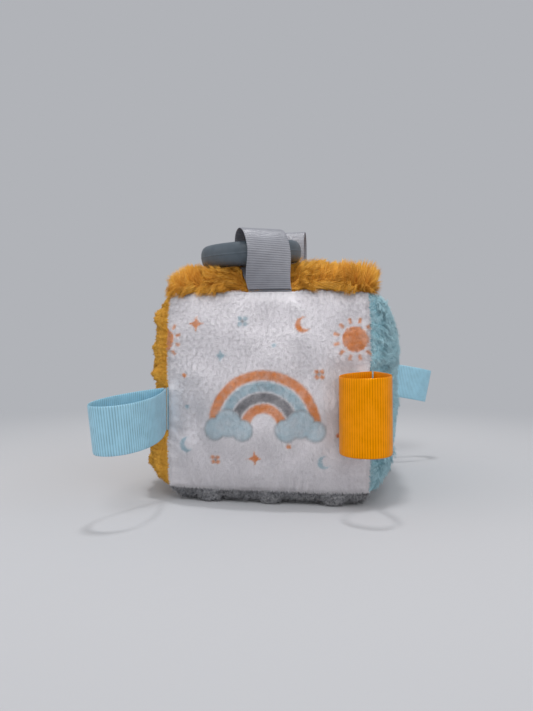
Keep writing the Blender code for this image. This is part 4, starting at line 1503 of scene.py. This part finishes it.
def add_node(tree, kind, links=(), output=0, **settings):
    """One node with its settings by name and its values and links by socket. Gives an output."""
    node = tree.nodes.new("ShaderNode" + kind)
    for name, value in settings.items():
        setattr(node, name, value)
    for socket, value in links:
        target = node.inputs[socket]
        if isinstance(value, bpy.types.NodeSocket):
            tree.links.new(value, target)
        elif value is not None:
            target.default_value = (*value, 1.0)[:4] if target.type == "RGBA" else value
    return node.outputs[output] if node.outputs else None


def new_material(name):
    """An empty material and its node tree."""
    made = bpy.data.materials.new(name)
    made.use_nodes = True
    made.node_tree.nodes.clear()
    return made, made.node_tree


def finish_material(made, colour, roughness, bump=None, values=()):
    """A Principled shader on the output, with its colour, roughness, bump and even values."""
    tree = made.node_tree
    links = [("Base Color", colour), ("Roughness", roughness), ("Normal", bump), *values]
    add_node(tree, "OutputMaterial", [("Surface", add_node(tree, "BsdfPrincipled", links))])
    return made


def toned(colour, factor, lift=0.0):
    """A colour made darker or paler."""
    return tuple(min(1.0, factor * channel + lift) for channel in colour)


def clouds(tree, millimetres, detail, low=0.35, high=0.65):
    """Cloudy shares from 0 to 1 on object coordinates, with clouds of about one size."""
    place = add_node(tree, "TexCoord", output="Object")
    scale = 1000 / millimetres
    links = [("Vector", place), ("Scale", scale), ("Detail", detail)]
    cloud = add_node(tree, "TexNoise", links, "Fac")
    return add_node(tree, "MapRange", [("Value", cloud), ("From Min", low), ("From Max", high)])


def coat(tree, ground, colour, share, low=0.0, high=1.0):
    """Another colour over the ground, by a share from 0 to 1 that is turned into one from low
    to high."""
    part = add_node(tree, "MapRange", [("Value", share), ("To Min", low), ("To Max", high)])
    return add_node(tree, "Mix", [(0, part), (6, ground), (7, colour)], 2, data_type="RGBA")


def plush_material(name, strands):
    """Short-pile polyester plush, knitted, raised and printed: milky, with painted shade down at
    the roots of its strands, soft paler blotches that lift that shade where the pile lies over,
    and inks that sink into it unevenly as a wash does."""
    inks = colours()
    made, tree = new_material(name)
    share = add_node(tree, "Attribute", (), "Fac", attribute_name="share") if strands else 0.25
    # Painted shade: darker towards the roots of the strands; the shell sits a quarter of the way
    # to the tips
    ground = coat(tree, inks.white_root_shade, inks.white, share)
    ground = coat(tree, ground, inks.white, clouds(tree, 2.4, 3.0), 0.0, 0.5)
    ink = add_node(tree, "Attribute", (), "Color", attribute_name="ink")
    wash = clouds(tree, 3.5, 4.0, 0.3, 0.7)
    for channel, colour, least in (
        ("Red", inks.apricot, 0.68),
        ("Green", inks.dusty_blue, 0.6),
        ("Blue", inks.charcoal, 0.7),
    ):
        weight = add_node(tree, "SeparateColor", [("Color", ink)], channel)
        washed = add_node(tree, "MapRange", [("Value", wash), ("To Min", least)])
        both = add_node(tree, "Math", [(0, weight), (1, washed)], operation="MULTIPLY")
        ground = coat(tree, ground, colour, both)
    if strands:
        tint = add_node(tree, "Attribute", (), "Fac", attribute_name="tint")
        ground = coat(tree, ground, (0.0, 0.0, 0.0), tint, 0.0, 0.12)
    values = [("Sheen Weight", 0.25), ("Sheen Roughness", 0.5), ("IOR", 1.5)]
    return finish_material(made, ground, 0.9, values=values)


def pile_material(name, deep, tip, light, darkness, clumped):
    """Dyed polyester pile: a painted shade colour down between the strands, its own colour at the
    tips, with paler strands here and there and clumps that differ a little."""
    made, tree = new_material(name)
    share = add_node(tree, "Attribute", (), "Fac", attribute_name="share")
    tint = add_node(tree, "Attribute", (), "Fac", attribute_name="tint")
    if clumped:
        # Painted shade: the shaded colour at the roots, the pile's own colour at the tips
        risen = add_node(tree, "MapRange", [("Value", share), ("From Max", 0.75)])
        ground = coat(tree, deep, tip, risen)
        pale = add_node(tree, "MapRange", [("Value", tint), ("To Min", -0.1), ("To Max", 0.8)])
        pale = add_node(tree, "Math", [(0, share), (1, pale)], operation="MULTIPLY")
        ground = coat(tree, ground, light, pale)
        clump = add_node(tree, "Attribute", (), "Fac", attribute_name="clump")
        ground = coat(tree, ground, deep, clump, 0.0, darkness)
    else:
        # Painted shade: the shaded colour at the roots, the pile's own colour at the tips
        ground = coat(tree, deep, tip, share)
        ground = coat(tree, ground, light, tint, 0.0, 0.3)
    ground = coat(tree, ground, deep, clouds(tree, 7.0, 2.0), 0.0, darkness)
    return finish_material(made, ground, 0.7, values=[("Specular IOR Level", 0.25), ("IOR", 1.5)])


def backing_material(name, deep, tip):
    """The knitted ground under the pile: mostly the pile's shaded colour, painted shade for the
    shade that falls under the pile, cloudy, quite matt.
    """
    made, tree = new_material(name)
    # Painted shade: between 55 and 95 percent of the way to the shaded colour
    ground = coat(tree, deep, tip, clouds(tree, 1.2, 3.0), 0.05, 0.45)
    loops = [("Strength", 0.5), ("Distance", 0.0004), ("Height", clouds(tree, 0.9, 2.0))]
    return finish_material(made, ground, 0.95, add_node(tree, "Bump", loops), [("IOR", 1.5)])


def ribbon_material(name, colour, gloss):
    """Polyester grosgrain, woven with thick wefts: satin ribs with painted shade in the valleys
    between them, and a fine warp that runs along the ribbon, its threads 0.3 mm apart."""
    made, tree = new_material(name)
    # Painted shade: the valleys between the ribs darkened to 0.4 of the ribbon's colour, by the
    # rib share
    rib = add_node(tree, "Attribute", (), "Fac", attribute_name="rib")
    ground = coat(tree, toned(colour, 0.4), colour, rib)
    ground = coat(tree, ground, toned(colour, 1.12, 0.01), clouds(tree, 5.0, 2.0), 0.0, 0.35)
    place = add_node(tree, "UVMap", uv_map="weave")
    weave = [("Vector", place), ("Scale", 11.0), ("Distortion", 0.6), ("Detail", 1.0)]
    warp = add_node(tree, "TexWave", weave, "Fac", wave_type="BANDS", bands_direction="Y")
    bump = add_node(tree, "Bump", [("Strength", 0.25), ("Distance", 0.0001), ("Height", warp)])
    values = [("Specular IOR Level", 1.0), ("Specular Tint", gloss), ("IOR", 1.5)]
    return finish_material(made, ground, 0.3, bump, values)


def silicone_material(name):
    """Moulded platinum silicone: satin, slightly milky, with a fine matt grain and faint dust."""
    made, tree = new_material(name)
    slate = colours().slate
    ground = coat(tree, slate, toned(slate, 1.5, 0.02), clouds(tree, 4.0, 4.0), 0.0, 0.22)
    grain = [("Strength", 0.12), ("Distance", 0.00008), ("Height", clouds(tree, 0.5, 2.0))]
    dust = [("Value", clouds(tree, 6.0, 3.0)), ("To Min", 0.36), ("To Max", 0.48)]
    rough = add_node(tree, "MapRange", dust)
    return finish_material(made, ground, rough, add_node(tree, "Bump", grain), [("IOR", 1.41)])


def thread_material(name):
    """Spun polyester sewing thread: matt, with a slight change of tone from stitch to stitch."""
    made, tree = new_material(name)
    thread = colours().thread
    ground = coat(tree, toned(thread, 0.7), thread, clouds(tree, 1.5, 2.0))
    return finish_material(made, ground, 0.7, values=[("Sheen Weight", 0.1), ("IOR", 1.5)])


def fibre_material(name):
    """Hollow polyester fibre: white, fluffy and quite matt."""
    made, tree = new_material(name)
    fibre = colours().fibre
    ground = coat(tree, toned(fibre, 0.8), fibre, clouds(tree, 1.4, 4.0))
    fluff = [("Strength", 0.6), ("Distance", 0.0008), ("Height", clouds(tree, 1.0, 4.0))]
    values = [("Sheen Weight", 0.3), ("IOR", 1.5)]
    return finish_material(made, ground, 1.0, add_node(tree, "Bump", fluff), values)


def dress(piece, finish, body="block"):
    """A piece's material and the body it rides on."""
    piece.data.materials.append(finish)
    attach(piece, body)
    return piece


def declare_panel(panel, pile):
    """Hides the frame's own part for a panel; its pile is not used."""
    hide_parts(panel.name)


class SOFTBLOCK_OT_filling(bpy.types.Operator):
    """Make the fibre filling"""

    bl_idname = "softblock.filling"
    bl_label = "Fibre filling"

    def execute(self, context):
        pad = dress(filling_mesh("hollow_fibre_filling"), fibre_material("hollow fibre"))
        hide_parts("fibre_filling")
        return {"FINISHED"}


class SOFTBLOCK_OT_white_panels(bpy.types.Operator):
    """Make the printed white plush panels at the front and the back"""

    bl_idname = "softblock.white_panels"
    bl_label = "White plush panels"

    def execute(self, context):
        ground = plush_material("plush ground", False)
        finish = plush_material("printed plush", True)
        many, long = cloth().plush_count, cloth().plush_length
        for panel, word, share in ((FRONT, "front", 1.0), (BACK, "back", BACK_STRANDS)):
            name = f"{word}_plush"
            shell = dress(cloth_shell(panel, f"{name}_panel", PLAIN_STEPS), ground)
            give_ink(shell, print_inks(panel, vertex_points(shell)))
            pile = add_short_pile(panel, f"{name}_pile", int(share * many), long, PLUSH)
            declare_panel(panel, [dress(pile, finish)])
        return {"FINISHED"}


class SOFTBLOCK_OT_dimpled_panels(bpy.types.Operator):
    """Make the dimpled panels: yellow at the left, grey underneath"""

    bl_idname = "softblock.dimpled_panels"
    bl_label = "Dimpled panels"

    def execute(self, context):
        inks, settings = colours(), cloth()
        many, long = settings.nap_count, settings.nap_length
        kinds = (
            (LEFT, "yellow_dimpled", inks.yellow_shade, inks.yellow, many, long),
            (BOTTOM, "grey_dimpled", inks.grey_shade, inks.grey, many // 2, GREY_NAP * long),
        )
        for panel, slot, deep, tip, count, length in kinds:
            words = slot.replace("_", " ")
            ground = backing_material(f"{words} ground", deep, tip)
            finish = pile_material(f"{words} nap", deep, tip, tip, 0.5, False)
            shell = dress(cloth_shell(panel, f"{slot}_panel", FINE_STEPS), ground)
            nap = add_short_pile(panel, f"{slot}_nap", count, length, NAP)
            declare_panel(panel, [dress(nap, finish)])
        return {"FINISHED"}


class SOFTBLOCK_OT_teal_panel(bpy.types.Operator):
    """Make the curly teal panel at the right"""

    bl_idname = "softblock.teal_panel"
    bl_label = "Teal plush panel"

    def execute(self, context):
        inks, settings = colours(), cloth()
        ground = backing_material("teal plush ground", inks.teal_shade, inks.teal)
        finish = pile_material("teal curly pile", inks.teal_shade, inks.teal, inks.teal, 0.35, True)
        shell = dress(cloth_shell(RIGHT, "teal_plush_panel", PLAIN_STEPS), ground)
        pile = add_long_pile(RIGHT, TEAL, settings.teal_count, settings.teal_length)
        declare_panel(RIGHT, [dress(piece, finish) for piece in pile])
        return {"FINISHED"}


class SOFTBLOCK_OT_fur_panel(bpy.types.Operator):
    """Make the mustard fur panel on top"""

    bl_idname = "softblock.fur_panel"
    bl_label = "Mustard fur panel"

    def execute(self, context):
        inks, settings = colours(), cloth()
        ground = backing_material("fur ground", inks.fur_shade, inks.fur)
        finish = pile_material("mustard fur", inks.fur_shade, inks.fur, inks.fur_light, 0.5, True)
        shell = dress(cloth_shell(TOP, "fur_panel", PLAIN_STEPS), ground)
        pile = add_long_pile(TOP, FUR, settings.fur_count, settings.fur_length)
        declare_panel(TOP, [dress(piece, finish) for piece in pile])
        return {"FINISHED"}


class SOFTBLOCK_OT_ribbons(bpy.types.Operator):
    """Make the five ribbon loops and their sewn-in ends"""

    bl_idname = "softblock.ribbons"
    bl_label = "Ribbon loops"

    def execute(self, context):
        inks = colours()
        finishes = {
            "blue": ribbon_material("sky blue grosgrain", inks.ribbon_blue, inks.white),
            "amber": ribbon_material("amber grosgrain", inks.ribbon_amber, inks.amber_gloss),
            "grey": ribbon_material("silver grey grosgrain", inks.ribbon_grey, inks.white),
        }
        for loop in LOOPS:
            free, end, length = add_ribbon(loop)
            dress(free, finishes[loop.colour], loop.body)
            dress(end, finishes[loop.colour])
            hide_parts(loop.name + "_loop")
            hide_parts(loop.name + "_sewn_end")
        return {"FINISHED"}


class SOFTBLOCK_OT_stitches(bpy.types.Operator):
    """Make the machine stitching of every seam and the hand stitches of the closed gap"""

    bl_idname = "softblock.stitches"
    bl_label = "Seam stitching"

    def execute(self, context):
        settings = trim()
        finish = thread_material("spun polyester thread")
        for node, along, sides, start, end in seam_lengths():
            by_hand = node == "closing_stitch_thread"
            pitch = settings.hand_pitch if by_hand else settings.stitch_pitch
            name = node.replace("_thread", "_stitches").replace("stitch_stitches", "stitches")
            row = add_stitches(name, along, sides, start, end, pitch, settings.stitch_length)
            dress(row, finish)
            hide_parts(node)
        return {"FINISHED"}


class SOFTBLOCK_OT_ring(bpy.types.Operator):
    """Make the silicone teething ring"""

    bl_idname = "softblock.ring"
    bl_label = "Teething ring"

    def execute(self, context):
        finish = silicone_material("slate silicone")
        ring = dress(add_ring("silicone_ring"), finish, "ring")
        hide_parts("teething_ring")
        return {"FINISHED"}


class SOFTBLOCK_OT_stage(bpy.types.Operator):
    """Make the floor, the light, the world and the camera"""

    bl_idname = "softblock.stage"
    bl_label = "Stage"

    def execute(self, context):
        scene = context.scene
        scene.view_settings.view_transform = "Standard"
        turn = np.linspace(0, 2 * np.pi, FLOOR_CORNERS, endpoint=False)
        rim = FLOOR_RADIUS * np.stack([np.cos(turn), np.sin(turn), 0 * turn], axis=-1)
        floor = add_mesh("floor", rim, [np.arange(len(rim))[None, :]], smooth=False)
        floor.data.materials.append(self.table())
        self.light(scene)
        self.world(scene)
        camera = bpy.data.cameras.new("camera")
        camera.lens = CAMERA_LENS
        camera.sensor_width = CAMERA_SENSOR
        camera.sensor_fit = "AUTO"
        camera.clip_start = CAMERA_NEAR
        eye = bpy.data.objects.new("camera", camera)
        eye.location = CAMERA_PLACE
        eye.rotation_euler = (CAMERA_TILT, 0.0, CAMERA_HEADING)
        scene.collection.objects.link(eye)
        scene.camera = eye
        return {"FINISHED"}

    def table(self):
        """A pale matt table top that turns into the plain backdrop further out."""
        made, tree = new_material("pale matt table top")
        place = add_node(tree, "TexCoord", output="Object")
        away = add_node(tree, "VectorMath", [(0, place)], "Value", operation="LENGTH")
        reach = [("Value", away), ("From Min", FLOOR_NEAR), ("From Max", FLOOR_FAR)]
        far = add_node(tree, "MapRange", reach, interpolation_type="SMOOTHSTEP")
        matt = [("Color", colours().floor), ("Roughness", 0.5)]
        top = add_node(tree, "BsdfDiffuse", matt)
        plain = add_node(tree, "Emission", [("Color", colours().backdrop)])
        both = add_node(tree, "MixShader", [(0, far), (1, top), (2, plain)])
        add_node(tree, "OutputMaterial", [("Surface", both)])
        return made

    def light(self, scene):
        """Wide soft lamps in front, high and low, and from each side, and a small one overhead."""
        for name, place, width, power in LAMPS:
            lamp = bpy.data.lights.new(name, "AREA")
            lamp.shape = "DISK"
            lamp.size = width
            lamp.energy = power
            made = bpy.data.objects.new(name, lamp)
            made.location = place
            way = Vector(CENTRE) - Vector(place)
            made.rotation_euler = way.to_track_quat("-Z", "Y").to_euler()
            scene.collection.objects.link(made)

    def world(self, scene):
        """An even pale surround. The camera, gloss and glass see the backdrop's own colour."""
        world = bpy.data.worlds.new("studio")
        world.use_nodes = True
        tree = world.node_tree
        tree.nodes.clear()
        seen = add_node(tree, "LightPath", output="Is Camera Ray")
        for kind in ("Is Glossy Ray", "Is Transmission Ray"):
            other = add_node(tree, "LightPath", output=kind)
            seen = add_node(tree, "Math", [(0, seen), (1, other)], operation="MAXIMUM")
        white = (1.0, 1.0, 1.0)
        soft = add_node(tree, "Background", [("Color", white), ("Strength", SURROUND)])
        plain = add_node(tree, "Background", [("Color", colours().backdrop), ("Strength", 1.0)])
        both = add_node(tree, "MixShader", [(0, seen), (1, soft), (2, plain)])
        add_node(tree, "OutputWorld", [("Surface", both)])
        scene.world = world


OPERATORS = (
    SOFTBLOCK_OT_stage,
    SOFTBLOCK_OT_filling,
    SOFTBLOCK_OT_white_panels,
    SOFTBLOCK_OT_dimpled_panels,
    SOFTBLOCK_OT_teal_panel,
    SOFTBLOCK_OT_fur_panel,
    SOFTBLOCK_OT_ribbons,
    SOFTBLOCK_OT_stitches,
    SOFTBLOCK_OT_ring,
)


class SOFTBLOCK_PT_panel(bpy.types.Panel):
    """The block's pieces and settings"""

    bl_idname = "SOFTBLOCK_PT_panel"
    bl_label = "Soft Block"
    bl_space_type = "VIEW_3D"
    bl_region_type = "UI"
    bl_category = "Soft Block"

    def draw(self, context):
        layout = self.layout
        for operator in OPERATORS:
            layout.operator(operator.bl_idname)
        for settings in (cloth(), trim(), colours()):
            box = layout.box()
            for name in settings.bl_rna.properties.keys():
                if name not in ("rna_type", "name"):
                    box.prop(settings, name)


GROUPS = {
    "soft_block_cloth": BlockCloth,
    "soft_block_trim": BlockTrim,
    "soft_block_colours": BlockColours,
}
CLASSES = (*GROUPS.values(), *OPERATORS, SOFTBLOCK_PT_panel)


def register():
    for cls in CLASSES:
        bpy.utils.register_class(cls)
    for name, group in GROUPS.items():
        setattr(bpy.types.Scene, name, PointerProperty(type=group))


def unregister():
    for name in GROUPS:
        delattr(bpy.types.Scene, name)
    for cls in reversed(CLASSES):
        bpy.utils.unregister_class(cls)


def main():
    register()
    for operator in OPERATORS:
        group, name = operator.bl_idname.split(".")
        getattr(getattr(bpy.ops, group), name)()


if __name__ == "__main__":
    main()
